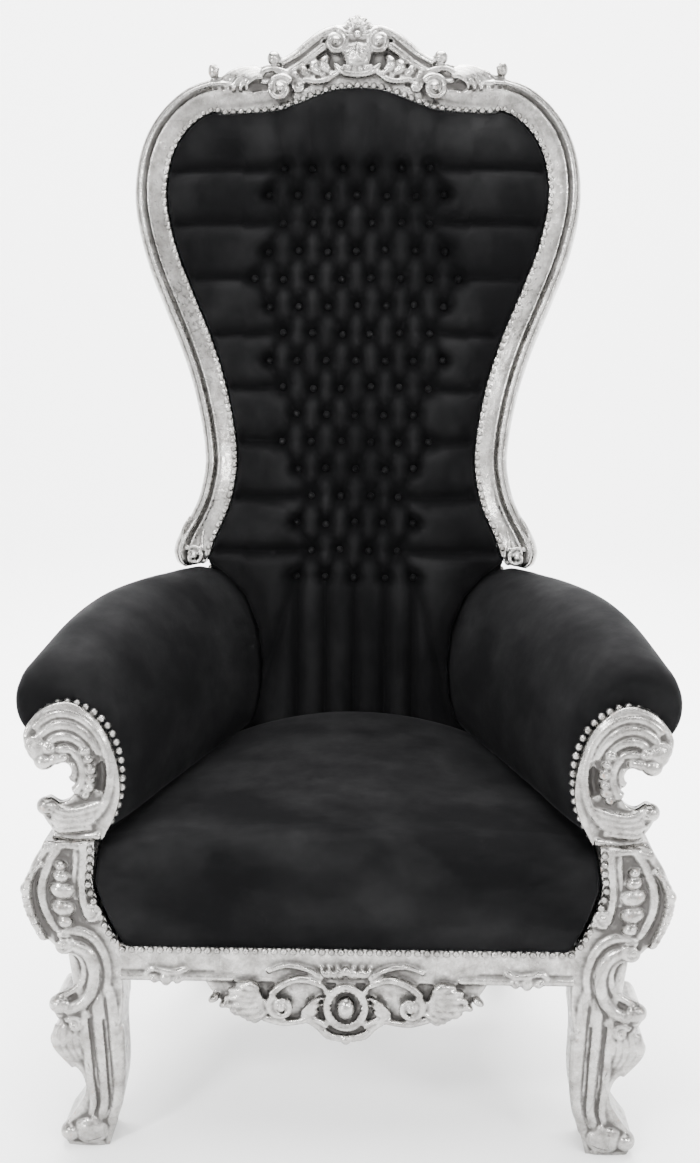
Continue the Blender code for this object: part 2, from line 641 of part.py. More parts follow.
def arm_section(share):
    """Outline of the arm in X and Z at a share of its length."""
    centre_x, centre_z = lerp_spot(ARM_ROLL_FRONT, ARM_ROLL_REAR, share)
    bow = math.sin(math.pi * share)
    centre_x += ARM_BOW_OUT * bow
    centre_z += ARM_BOW_UP * bow
    radius = mix(ARM_ROLL_FRONT["radius"], ARM_ROLL_REAR["radius"], share)
    bulge_x, bulge_z = lerp_spot(ARM_BULGE_FRONT, ARM_BULGE_REAR, share)
    crease_x, crease_z = lerp_spot(ARM_CREASE_FRONT, ARM_CREASE_REAR, share)
    panel_x = mix(ARM_PANEL_FRONT_X, ARM_PANEL_REAR_X, share) + ARM_BOW_OUT * bow / 2
    floor_z = RAIL_TOP + TOUCH_GAP
    under = -math.acos(min(max((panel_x - centre_x) / radius, -1), 1))
    points = [(panel_x, floor_z), (panel_x, mix(floor_z, centre_z - radius, 0.6))]
    for k in range(9):
        angle = mix(under, math.radians(100), k / 8)
        points.append((centre_x + radius * math.cos(angle), centre_z + radius * math.sin(angle)))
    start_x, start_z = points[-1]
    for k in range(1, 5):
        angle = math.radians(90 - 22.5 * k)
        points.append((start_x - (start_x - bulge_x) * math.cos(angle),
                       bulge_z + (start_z - bulge_z) * math.sin(angle)))
    for k in range(1, 4):
        angle = math.radians(30 * k)
        points.append((bulge_x + (crease_x - bulge_x) * (1 - math.cos(angle)),
                       bulge_z - (bulge_z - crease_z) * math.sin(angle)))
    points.append((crease_x, floor_z))
    return points


def arm():
    """The upholstered arm at +X, from behind its carved scroll to the leaning back."""
    front_y = LEG_BACK_Y + TOUCH_GAP
    rings = []
    for station in range(ARM_STATIONS + 1):
        share = station / ARM_STATIONS
        ring = []
        for x, z in arm_section(share):
            ring.append((x, mix(front_y, back_plane_y(z, PAD_REAR), share), z))
        rings.append(ring)
    mesh = bmesh.new()
    loft(mesh, rings)
    return mesh


def arm_share_at(y, z):
    """How far along the arm a point at this Y and height lies, from 0 to 1."""
    front_y = LEG_BACK_Y + TOUCH_GAP
    return (y - front_y) / (back_plane_y(z, PAD_REAR) - front_y)


def seat():
    """The crowned seat cushion, shaped to the arms and legs at its sides."""
    floor_z = RAIL_TOP + TOUCH_GAP
    split = LEG_BACK_Y
    stations = [0.0, 0.2, 0.5, 0.85, 1.0]
    places = [("front", share) for share in stations]
    places += [("rear", share) for share in (0.0, 0.12, 0.3, 0.5, 0.7, 0.88, 1.0)]
    rings = []
    for zone, share in places:
        along = 0.0 if zone == "front" else share
        edge_z = mix(ARM_CREASE_FRONT["z"], ARM_CREASE_REAR["z"], along) - SEAT_SIDE_DROP
        crown = mix(SEAT_CROWN_FRONT, SEAT_CROWN_REAR, along)
        fall = 0.0
        if zone == "front":
            y = mix(SEAT_FRONT_Y, split + TOUCH_GAP, share)
            run = SEAT_FRONT_ROLL - (y - SEAT_FRONT_Y)
            if run > 0:
                fall = SEAT_FRONT_ROLL - math.sqrt(SEAT_FRONT_ROLL ** 2 - run ** 2)
        ring = []
        rise = [mix(floor_z, edge_z - fall, k / 4) for k in range(5)]

        def side_x(z):
            if zone == "front":
                return leg_inner_edge(z) - CARVED_GAP
            reach = mix(split + 2 * TOUCH_GAP, back_plane_y(z, PAD_CROWN) - 2 * TOUCH_GAP, share)
            wall = mix(ARM_CREASE_FRONT["x"], ARM_CREASE_REAR["x"], arm_share_at(reach, z))
            return wall - 2 * TOUCH_GAP

        def place_y(z):
            if zone == "front":
                return y
            return mix(split + 2 * TOUCH_GAP, back_plane_y(z, PAD_CROWN) - 2 * TOUCH_GAP, share)

        for z in rise:
            ring.append((side_x(z), place_y(z), z))
        top_x = side_x(rise[-1])
        for k in range(1, 8):
            across = 1 - k / 4
            z = rise[-1] + crown * (1 - across ** 2)
            ring.append((top_x * across, place_y(z), z))
        for z in rise[::-1]:
            ring.append((-side_x(z), place_y(z), z))
        rings.append(ring)
    mesh = bmesh.new()
    loft(mesh, rings)
    return mesh


def panel_outline(gap, lower):
    """Half outline at +X of a back panel inside the frame, from the top middle down."""
    half = FRAME_WIDTH / 2 + gap
    points = [(x, z - CARVED_GAP) for x, z in crest_lower_edge() if x < CREST_HALF_WIDTH * 0.84]
    path = stile_path()
    widths = [1.0] * len(path)
    for k, size in enumerate(STILE_LOBE_SIZES):
        widths[k] = size
    edge = []
    for k in range(1, len(path) - 1):
        along = (path[k + 1] - path[k - 1]).normalized()
        across = Vector((-along.z, 0, along.x))
        inside = path[k] + across * (half * widths[k])
        edge.append((inside.x, inside.z))
    top = points[-1][1]
    edge = [point for point in edge if 0 < point[1] < top - 0.012]
    points += edge[::-1]
    return points + lower


def inside_lower_points():
    """Where the inside back passes down between the arms, in the frame's own sizes."""
    spots = [point for point in arm_section(1.0)[10:] if point[1] < BACK_Z - 0.01]
    return [(x - 3 * TOUCH_GAP, (z - BACK_Z) / math.cos(BACK_LEAN)) for x, z in spots]


def panel(half, flat_face, edge, crown):
    """A back panel from its half outline: a flat face, an edge, and a face drawn to a crown."""
    outline = list(half) + [(-x, z) for x, z in half[::-1] if x > 0.0001]
    middle = (max(z for x, z in outline) + min(z for x, z in outline)) / 2
    rings = [[(x, flat_face, z) for x, z in outline], [(x, edge, z) for x, z in outline]]
    rings.append([(x * PAD_CROWN_SHARE, crown, mix(middle, z, 0.5 + PAD_CROWN_SHARE / 2))
                  for x, z in outline])
    mesh = bmesh.new()
    loft(mesh, rings)
    return mesh


def inside_back():
    """The buttoned velvet pad, seen inside the frame and down between the arms."""
    half = panel_outline(0.001, inside_lower_points())
    return panel(half, PAD_REAR - TOUCH_GAP, FRAME_FRONT + PAD_EDGE_DROP, PAD_CROWN)


def outside_back():
    """The flat velvet panel behind, which also closes the rear ends of the arms."""
    spots = [point for point in arm_section(1.0)[:7][::-1]]
    lower = [(BACK_HALF_WIDTH * 0.70, -0.004)]
    lower += [(x, (z - BACK_Z) / math.cos(BACK_LEAN)) for x, z in spots]
    half = panel_outline(0.001, lower)
    return panel(half, PAD_REAR + TOUCH_GAP, OUTSIDE_BACK_REAR - 0.008, OUTSIDE_BACK_REAR)


def side_rail():
    """The side rail at +X, from the front leg's back to the back leg, with a bead below."""
    low = RAIL_TOP - RAIL_HEIGHT
    bead = 0.008
    rings = []
    ends = [(LEG_BACK_Y + TOUCH_GAP, ARM_PANEL_FRONT_X), (BACK_LEG_FRONT_Y - TOUCH_GAP,
                                                          BACK_LEG_INNER_X + BACK_LEG_WIDTH - 0.004)]
    for y, outer in ends:
        inner = outer - RAIL_THICKNESS
        rings.append([(inner, y, RAIL_TOP), (outer, y, RAIL_TOP), (outer, y, low + 3 * bead),
                      (outer + bead * 0.5, y, low + 2 * bead), (outer + bead * 0.8, y, low + bead),
                      (outer + bead * 0.2, y, low), (inner, y, low)])
    mesh = bmesh.new()
    loft(mesh, rings)
    return mesh


def back_rail():
    """The plain rail between the back legs."""
    half_length = BACK_LEG_INNER_X - TOUCH_GAP
    rear = BACK_LEG_FRONT_Y + BACK_LEG_DEPTH - 0.006
    mesh = bmesh.new()
    size = Matrix.Diagonal((2 * half_length, rear - BACK_LEG_FRONT_Y, RAIL_HEIGHT, 1))
    place = Matrix.Translation((0, (rear + BACK_LEG_FRONT_Y) / 2, RAIL_TOP - RAIL_HEIGHT / 2))
    bmesh.ops.create_cube(mesh, size=1, matrix=place @ size)
    bottom = [edge for edge in mesh.edges if all(vert.co.z < RAIL_TOP - RAIL_HEIGHT / 2
                                                 for vert in edge.verts)
              and abs(edge.verts[0].co.x - edge.verts[1].co.x) > half_length]
    bmesh.ops.bevel(mesh, geom=bottom, offset=0.006, segments=2, affect="EDGES", profile=0.5)
    return mesh


def back_leg():
    """The back leg at +X: a square block at the rail, swept back and tapered to the foot."""
    inner = BACK_LEG_INNER_X
    half_width = BACK_LEG_WIDTH / 2
    top_y = BACK_LEG_FRONT_Y + BACK_LEG_DEPTH / 2
    knee_z = RAIL_TOP - RAIL_HEIGHT
    rings = []
    stations = 8
    for station in range(stations + 1):
        share = station / stations
        if station == 0:
            z, back, out, size = RAIL_TOP, 0.0, 0.0, 1.0
        else:
            fall = (station - 1) / (stations - 1)
            z = knee_z * (1 - fall)
            back = (BACK_FOOT_Y - top_y) * (0.35 * fall + 0.65 * fall ** 2)
            out = BACK_FOOT_OUT * fall
            size = mix(1.0, 0.62, fall ** 0.8)
            if fall == 1:
                size = 0.66
        centre_x = inner + half_width + out
        centre_y = top_y + back
        half_x = half_width * size
        half_y = BACK_LEG_DEPTH / 2 * size
        soft = 0.18 if share > 0 else 0.02
        ring = []
        for sx, sy in ((1, 1), (-1, 1), (-1, -1), (1, -1)):
            first, second = ((1 - soft, 1), (1, 1 - soft))
            if sx * sy > 0:
                first, second = second, first
            for ax, ay in (first, second):
                ring.append((centre_x + sx * ax * half_x, centre_y + sy * ay * half_y, z))
        rings.append(ring)
    mesh = bmesh.new()
    loft(mesh, rings)
    return mesh


def centre_on_floor(root):
    """Move the throne so that its box is centred over the origin, with its feet at Z 0."""
    bpy.context.view_layer.update()
    corners = []
    for thing in bpy.data.objects:
        if thing.type == "MESH":
            corners += [thing.matrix_world @ vert.co for vert in thing.data.vertices]
    low_y = min(corner.y for corner in corners)
    high_y = max(corner.y for corner in corners)
    root.location.y -= (low_y + high_y) / 2


def build_throne():
    """Put every piece of the throne in its place."""
    clear_objects()
    silver = make_material("silver_leaf", (0.80, 0.79, 0.77), 1.0, 0.32)
    velvet = make_material("black_velvet", (0.008, 0.008, 0.009), 0.0, 0.9)
    root = bpy.data.objects.new("throne", None)
    bpy.context.scene.collection.objects.link(root)
    back = bpy.data.objects.new("back_frame", None)
    bpy.context.scene.collection.objects.link(back)
    back.parent = root
    back.location = (0, BACK_Y, BACK_Z)
    back.rotation_euler = (-BACK_LEAN, 0, 0)

    add_pair("front_leg", front_leg(), silver, root)
    add_pair("arm_scroll", arm_scroll(), silver, root)
    add_piece("front_rail", front_rail(), silver, root, smooth=True)
    add_pair("side_rail", side_rail(), silver, root)
    add_piece("back_rail", back_rail(), silver, root)
    add_pair("back_leg", back_leg(), silver, root)
    add_pair("arm", arm(), velvet, root)
    add_piece("seat", seat(), velvet, root, smooth=True)
    add_pair("back_stile", back_stile(), silver, back)
    add_piece("crest_rail", crest_rail(), silver, back, smooth=True)
    inside = inside_back()
    cut_flat(inside, back.matrix_basis.inverted() @ Vector((0, 0, RAIL_TOP + TOUCH_GAP)),
             (0, math.sin(BACK_LEAN), -math.cos(BACK_LEAN)))
    add_piece("inside_back", inside, velvet, back, smooth=True)
    outside = outside_back()
    cut_flat(outside, back.matrix_basis.inverted() @ Vector((0, 0, RAIL_TOP + TOUCH_GAP)),
             (0, math.sin(BACK_LEAN), -math.cos(BACK_LEAN)))
    add_piece("outside_back", outside, velvet, back, smooth=True)
    centre_on_floor(root)


build_throne()
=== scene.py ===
import math
import random

import bmesh
import bpy
import numpy as np
from mathutils import Matrix, Vector


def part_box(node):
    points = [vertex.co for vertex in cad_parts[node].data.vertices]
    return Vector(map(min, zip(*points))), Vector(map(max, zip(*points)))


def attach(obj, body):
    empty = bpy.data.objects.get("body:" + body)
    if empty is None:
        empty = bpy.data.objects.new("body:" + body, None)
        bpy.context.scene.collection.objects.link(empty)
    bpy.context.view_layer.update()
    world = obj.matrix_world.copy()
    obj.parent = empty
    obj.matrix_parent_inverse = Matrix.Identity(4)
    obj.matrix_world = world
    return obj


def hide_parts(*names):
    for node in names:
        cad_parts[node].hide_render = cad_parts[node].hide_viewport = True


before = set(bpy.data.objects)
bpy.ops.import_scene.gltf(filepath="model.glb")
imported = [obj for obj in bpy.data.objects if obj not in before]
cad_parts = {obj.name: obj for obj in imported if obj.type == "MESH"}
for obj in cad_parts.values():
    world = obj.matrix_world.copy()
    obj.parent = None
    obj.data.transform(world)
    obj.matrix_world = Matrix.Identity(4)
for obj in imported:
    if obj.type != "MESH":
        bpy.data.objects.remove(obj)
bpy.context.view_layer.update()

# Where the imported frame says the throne's main parts are. The model is built at +X and mirrored.
legLow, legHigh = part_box("front_leg_right")
railLow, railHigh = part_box("front_rail")
seatLow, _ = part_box("seat")
body = {
    "legBackY": legHigh.y,
    "railTop": railHigh.z,
    "cushionZ": railHigh.z + 0.0003,  # the cushions' underside, a hair above the rails
    "backY": legHigh.y + 0.445,
    "backZ": 0.82,
    "lean": math.radians(10),
    "touch": 0.0003,
}
backPlace = Matrix.Translation((0, body["backY"], body["backZ"])) @ Matrix.Rotation(-body["lean"], 4, "X")
# from a panel laid flat to its place upright
panelPlace = backPlace @ Matrix(((1, 0, 0, 0), (0, 0, 1, 0), (0, 1, 0, 0), (0, 0, 0, 1)))


# Small helpers

def mix(start, end, share):
    return start + (end - start) * share


def smoothLine(points, steps, closed=False):
    # a rounded line through the points, like a pen stroke through dots
    points = [Vector(point) for point in points]
    count = len(points)
    line = []
    for span in range(count if closed else count - 1):
        if closed:
            a, b, c, d = (points[(span + k - 1) % count] for k in range(4))
        else:
            b, c = points[span], points[span + 1]
            a = points[span - 1] if span > 0 else b * 2 - c
            d = points[span + 2] if span + 2 < count else c * 2 - b
        for step in range(steps):
            t = step / steps
            line.append(0.5 * (2 * b + (c - a) * t + (2 * a - 5 * b + 4 * c - d) * t * t
                               + (3 * b - a - 3 * c + d) * t ** 3))
    if not closed:
        line.append(points[-1].copy())
    return line


def evenly(points, spacing):
    # points along a line at equal steps, the step fitted so that both ends are used
    points = [Vector(point) for point in points]
    reach = [0.0]
    for first, second in zip(points, points[1:]):
        reach.append(reach[-1] + (second - first).length)
    count = max(1, round(reach[-1] / spacing))
    found = []
    index = 0
    for k in range(count + 1):
        goal = reach[-1] * k / count
        while index < len(points) - 2 and reach[index + 1] < goal:
            index += 1
        part = (goal - reach[index]) / max(reach[index + 1] - reach[index], 1e-9)
        found.append(points[index].lerp(points[index + 1], min(part, 1)))
    return found


def meshArrays(data):
    count = len(data.vertices)
    places = np.zeros(count * 3, np.float32)
    data.vertices.foreach_get("co", places)
    normals = np.zeros(count * 3, np.float32)
    data.vertices.foreach_get("normal", normals)
    return places.reshape(-1, 3).astype(float), normals.reshape(-1, 3).astype(float)


def setPlaces(data, places):
    data.vertices.foreach_set("co", places.astype(np.float32).ravel())
    data.update()


def toLine(places, first, second):
    # distance of every place from the straight piece between two points, and the share along it
    run = second - first
    share = np.clip(((places - first) @ run) / max(run @ run, 1e-12), 0, 1)
    return np.linalg.norm(places - first - share[:, None] * run, axis=1), share


def wander(places, size, seed):
    # gentle unevenness, from a few seeded waves, between about -1 and 1
    chance = random.Random(seed)
    total = np.zeros(len(places))
    for _ in range(7):
        way = np.array([chance.gauss(0, 1) for _ in range(3)])
        way *= chance.uniform(0.6, 1.5) / np.linalg.norm(way) / size
        total += np.sin(places @ way + chance.uniform(0, 6.28))
    return total / 3.2


def addPiece(name, data, material):
    data.materials.clear()
    data.materials.append(material)
    piece = bpy.data.objects.new(name, data)
    bpy.context.scene.collection.objects.link(piece)
    return piece


def meshFrom(mesh, name):
    bmesh.ops.recalc_face_normals(mesh, faces=mesh.faces)
    data = bpy.data.meshes.new(name)
    mesh.to_mesh(data)
    mesh.free()
    data.shade_smooth()
    return data


def mirrored(data, name):
    mesh = bmesh.new()
    mesh.from_mesh(data)
    bmesh.ops.scale(mesh, vec=(-1, 1, 1), verts=mesh.verts)
    bmesh.ops.reverse_faces(mesh, faces=mesh.faces)
    copy = bpy.data.meshes.new(name)
    mesh.to_mesh(copy)
    mesh.free()
    copy.shade_smooth()
    return copy


def pair(name, data, material, sharp=None):
    # the same piece on both sides; each stands for the node of its own name
    made = []
    for side, mesh in (("right", data), ("left", mirrored(data, name + "_left"))):
        if sharp:
            mesh.set_sharp_from_angle(angle=math.radians(sharp))
        piece = addPiece(name + "_" + side + "_look", mesh, material)
        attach(piece, "root")
        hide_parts(name + "_" + side)
        made.append(piece)
    return made


# Materials

silver = {
    "leaf": (0.4, 0.392, 0.379),
    "shade": (0.12, 0.114, 0.106),
    # the hollows' colour: real grey glaze and painted shade together
    "hollowGlazeShade": (0.022, 0.019, 0.017),
    "bole": (0.26, 0.13, 0.075),
    "hollowGlazeShadeFrom": -0.1,
    "hollowGlazeShadeFull": 0.58,
    "roughLow": 0.12,
    "roughHigh": 0.4,
    "patchSize": 34,
    "rubSize": 120,
    "leafSize": 14,
    "hammered": (60, 0.26, 0.003),
    "grain": (420, 0.1, 0.0012),
}


def newMaterial(name):
    material = bpy.data.materials.new(name)
    material.use_nodes = True
    nodes = material.node_tree.nodes
    return material, nodes, material.node_tree.links, nodes["Principled BSDF"]


def noise(nodes, links, place, scale, detail=3.0, rough=0.5):
    node = nodes.new("ShaderNodeTexNoise")
    node.inputs["Scale"].default_value = scale
    node.inputs["Detail"].default_value = detail
    node.inputs["Roughness"].default_value = rough
    links.new(place, node.inputs["Vector"])
    return node.outputs["Fac"]


def ranged(nodes, links, value, low, high, toLow, toHigh):
    node = nodes.new("ShaderNodeMapRange")
    for name, number in (("From Min", low), ("From Max", high), ("To Min", toLow), ("To Max", toHigh)):
        node.inputs[name].default_value = number
    links.new(value, node.inputs["Value"])
    return node.outputs["Result"]


def mixed(nodes, links, share, first, second):
    node = nodes.new("ShaderNodeMix")
    node.data_type = "RGBA"
    for socket, value in ((node.inputs[6], first), (node.inputs[7], second)):
        if isinstance(value, tuple):
            socket.default_value = (*value, 1)
        else:
            links.new(value, socket)
    links.new(share, node.inputs[0])
    return node.outputs[2]


def combined(nodes, links, operation, first, second):
    node = nodes.new("ShaderNodeMath")
    node.operation = operation
    for socket, value in ((node.inputs[0], first), (node.inputs[1], second)):
        if isinstance(value, (int, float)):
            socket.default_value = value
        else:
            links.new(value, socket)
    return node.outputs[0]


def bump(nodes, links, height, strength, distance, before=None):
    node = nodes.new("ShaderNodeBump")
    node.inputs["Strength"].default_value = strength
    node.inputs["Distance"].default_value = distance
    links.new(height, node.inputs["Height"])
    if before is not None:
        links.new(before, node.inputs["Normal"])
    return node.outputs["Normal"]


def silverLeaf():
    # leaf over gesso: bright on the heights, grey glaze and painted shade in the hollows, bole where it is
    # rubbed
    material, nodes, links, shader = newMaterial("silver_leaf_finish")
    place = nodes.new("ShaderNodeTexCoord").outputs["Object"]
    depth = nodes.new("ShaderNodeAttribute")
    depth.attribute_name = "cavity"
    hollow = depth.outputs["Fac"]
    patch = noise(nodes, links, place, silver["patchSize"], 5, 0.68)
    fine = noise(nodes, links, place, silver["rubSize"], 4, 0.65)
    veil = ranged(nodes, links, patch, 0.36, 0.66, 0, 0.75)
    colour = mixed(nodes, links, veil, silver["leaf"], silver["shade"])
    leaves = nodes.new("ShaderNodeTexVoronoi")
    leaves.feature = "DISTANCE_TO_EDGE"
    leaves.inputs["Scale"].default_value = silver["leafSize"]
    links.new(place, leaves.inputs["Vector"])
    lap = ranged(nodes, links, leaves.outputs["Distance"], 0.0, 0.018, 0.32, 0)
    colour = mixed(nodes, links, lap, colour, silver["shade"])
    # painted shade: the hollows go towards near-black and lose their metal, partly the real glaze left in
    # recesses, partly shade painted in where the recesses would be in shadow
    broken = combined(nodes, links, "ADD", hollow, ranged(nodes, links, fine, 0.3, 0.7, -0.14, 0.14))
    glazeAndShade = ranged(nodes, links, broken, silver["hollowGlazeShadeFrom"], silver["hollowGlazeShadeFull"], 0, 0.93)
    colour = mixed(nodes, links, glazeAndShade, colour, silver["hollowGlazeShade"])
    ridge = ranged(nodes, links, hollow, -0.55, -1.0, 0, 1)
    rubbed = combined(nodes, links, "MULTIPLY", ridge, ranged(nodes, links, fine, 0.6, 0.7, 0, 0.55))
    colour = mixed(nodes, links, rubbed, colour, silver["bole"])
    links.new(colour, shader.inputs["Base Color"])
    dull = combined(nodes, links, "ADD",
                    ranged(nodes, links, fine, 0.25, 0.75, silver["roughLow"], silver["roughHigh"]),
                    combined(nodes, links, "MULTIPLY", glazeAndShade, 0.3))
    links.new(dull, shader.inputs["Roughness"])
    metal = ranged(nodes, links, combined(nodes, links, "MAXIMUM", glazeAndShade, rubbed), 0, 1, 1.0, 0.25)
    links.new(metal, shader.inputs["Metallic"])
    size, strength, depth = silver["hammered"]
    hammered = bump(nodes, links, noise(nodes, links, place, size, 4, 0.6), strength, depth)
    size, strength, depth = silver["grain"]
    grain = bump(nodes, links, noise(nodes, links, place, size, 2, 0.6), strength, depth, hammered)
    links.new(grain, shader.inputs["Normal"])
    return material


velvet = {
    "deep": (0.0017, 0.0017, 0.0019),
    "nap": (0.0085, 0.0085, 0.0088),
    "sheen": 0.028,
    "sheenRough": 0.34,
    "sheenTint": (0.75, 0.76, 0.8, 1),
    "specular": 0.05,
    "brushedSize": 7,
    "mottleSize": 42,
    "pileSize": 900,
    "crush": (0.16, 0.003),
    "pile": (0.3, 0.0006),
}


def blackVelvet(name, brushed):
    # cut pile: almost black face on, paler where the nap is brushed over, and with painted shade in the
    # folds and button pits that the fold attribute marks
    material, nodes, links, shader = newMaterial(name)
    place = nodes.new("ShaderNodeTexCoord").outputs["Object"]
    stretch = nodes.new("ShaderNodeMapping")
    stretch.inputs["Scale"].default_value = brushed
    links.new(place, stretch.inputs["Vector"])
    patch = noise(nodes, links, stretch.outputs["Vector"], velvet["brushedSize"], 5, 0.62)
    mottled = noise(nodes, links, place, velvet["mottleSize"], 4, 0.6)
    pile = noise(nodes, links, place, velvet["pileSize"], 2, 0.7)
    napAndFoldShade = ranged(nodes, links, patch, 0.4, 0.68, 0, 1)
    napAndFoldShade = combined(nodes, links, "MULTIPLY", napAndFoldShade, ranged(nodes, links, mottled, 0.3, 0.7, 0.55, 1.0))
    # painted shade: folds and button pits lose the paler nap and go to the deep colour, as if in shadow
    crease = nodes.new("ShaderNodeAttribute")
    crease.attribute_name = "fold"
    clearOfFoldShade = ranged(nodes, links, crease.outputs["Fac"], 0.05, 0.75, 1.0, 0.0)
    napAndFoldShade = combined(nodes, links, "MULTIPLY", napAndFoldShade, clearOfFoldShade)
    colour = mixed(nodes, links, napAndFoldShade, velvet["deep"], velvet["nap"])
    links.new(colour, shader.inputs["Base Color"])
    links.new(ranged(nodes, links, napAndFoldShade, 0, 1, 0.86, 0.62), shader.inputs["Roughness"])
    shader.inputs["Specular IOR Level"].default_value = velvet["specular"]
    shader.inputs["Sheen Weight"].default_value = velvet["sheen"]
    shader.inputs["Sheen Roughness"].default_value = velvet["sheenRough"]
    shader.inputs["Sheen Tint"].default_value = velvet["sheenTint"]
    crush = bump(nodes, links, mottled, *velvet["crush"])
    links.new(bump(nodes, links, pile, *velvet["pile"], crush), shader.inputs["Normal"])
    return material


silverFinish = silverLeaf()
velvetBack = blackVelvet("black_velvet_upright", (1.0, 1.0, 0.55))
velvetFlat = blackVelvet("black_velvet_level", (0.6, 1.0, 1.0))
print("materials ready")


# Carving: strands, lobes and plates fused into one skin, then engraved

carving = {
    "voxel": 0.002,
    "soften": 3,
    "strandSides": 4,
    "ground": 0.01,  # the flat ground behind the foremost point
    "face": 0.012,  # the line that the strands stand on
    "spare": 0.01,  # left on a blank until its ends are cut flat
    "weld": 0.00005,
    "nearRounds": 5,
    "farRounds": 34,
}


class Carving:
    def __init__(self):
        self.mesh = bmesh.new()
        self.curve = bpy.data.curves.new("strands", "CURVE")
        self.curve.dimensions = "3D"
        self.curve.bevel_depth = 1
        self.curve.bevel_resolution = carving["strandSides"]
        self.curve.use_fill_caps = True
        self.cuts = []

    def slab(self, outline, front, back):
        # a plate with this outline, seen from the front
        corners = [self.mesh.verts.new((point[0], front, point[1])) for point in outline]
        face = self.mesh.faces.new(corners)
        grown = bmesh.ops.extrude_face_region(self.mesh, geom=[face])["geom"]
        moved = [item for item in grown if isinstance(item, bmesh.types.BMVert)]
        bmesh.ops.translate(self.mesh, vec=(0, back - front, 0), verts=moved)

    def addShell(self, shell):
        data = bpy.data.meshes.new("shell")
        bmesh.ops.recalc_face_normals(shell, faces=shell.faces)
        shell.to_mesh(data)
        shell.free()
        self.mesh.from_mesh(data)

    def rib(self, points, start, end, steps=5, swell=0.0):
        # a round strand that tapers, and may swell in its middle
        path = smoothLine(points, steps)
        last = len(path) - 1
        spline = self.curve.splines.new("POLY")
        spline.points.add(last)
        for k, point in enumerate(path):
            spline.points[k].co = (*point, 1)
            spline.points[k].radius = mix(start, end, k / last) + swell * math.sin(math.pi * k / last)

    def lobe(self, centre, size, turn=0.0):
        place = Matrix.Translation(centre) @ Matrix.Rotation(turn, 4, "Y") @ Matrix.Diagonal((*size, 1))
        bmesh.ops.create_icosphere(self.mesh, subdivisions=3, radius=1, matrix=place)

    def bead(self, centre, radius):
        self.lobe(centre, (radius, radius, radius))

    def volute(self, centre, radius, turns, start, thick, sense=1):
        # a spiral that winds in to a ball
        count = max(10, int(turns * 22))
        points = []
        for k in range(count + 1):
            share = k / count
            angle = start + sense * share * turns * 2 * math.pi
            reach = mix(radius, radius * 0.3, share)
            points.append((centre[0] + reach * math.cos(angle), centre[1] - thick * 0.5 * share,
                           centre[2] + reach * math.sin(angle)))
        self.rib(points, thick, thick * 0.5, steps=1)
        self.bead((centre[0], centre[1] - thick * 0.7, centre[2]), radius * 0.34)

    def leaf(self, points, width, depth, veins=3):
        # a fluted leaf lobe: one fat tapered strand with grooves cut along it
        self.rib(points, width * 0.55, width * 0.4, swell=width * 0.45)
        first, last = Vector(points[0]), Vector(points[-1])
        side = (last - first).cross(Vector((0, 1, 0))).normalized()
        for k in range(veins):
            shift = side * width * 0.85 * (k - (veins - 1) / 2) / max(veins - 1, 1)
            self.groove([Vector(point) + shift * (0.5 + 0.5 * math.sin(math.pi * n / (len(points) - 1)))
                         for n, point in enumerate(points)], width * 0.16, depth)

    def groove(self, points, width, depth):
        self.cuts.append((smoothLine(points, 4), width, depth))


def edgePairs(data):
    pairs = np.zeros(len(data.edges) * 2, np.int32)
    data.edges.foreach_get("vertices", pairs)
    return pairs.reshape(-1, 2)


def eased(places, pairs, rounds, strength=0.5):
    # pull every point towards the middle of its neighbours
    count = len(places)
    first, second = pairs[:, 0], pairs[:, 1]
    degree = np.bincount(first, minlength=count) + np.bincount(second, minlength=count)
    degree = np.maximum(degree, 1)[:, None]
    for _ in range(rounds):
        total = np.zeros_like(places)
        for axis in range(3):
            total[:, axis] = (np.bincount(first, places[second, axis], count)
                              + np.bincount(second, places[first, axis], count))
        places = places + (total / degree - places) * strength
    return places


def markCavities(data):
    # a value for each point: above 0 in hollows, below 0 on ridges; the silver finish paints its glaze and
    # shade into the hollows by it
    places, normals = meshArrays(data)
    pairs = edgePairs(data)
    near = eased(places, pairs, carving["nearRounds"])
    far = eased(near, pairs, carving["farRounds"])
    small = ((near - places) * normals).sum(1)
    large = ((far - near) * normals).sum(1)
    small /= max(small.std() * 2.2, 1e-6)
    large /= max(large.std() * 1.6, 1e-6)
    value = np.clip(small * 0.7 + large * 0.62, -1, 1)
    flat = np.stack([value, value, value], 1)
    value = np.clip(eased(flat, pairs, 2)[:, 0], -1, 1)
    layer = data.attributes.new("cavity", "FLOAT", "POINT")
    layer.data.foreach_set("value", value.astype(np.float32))


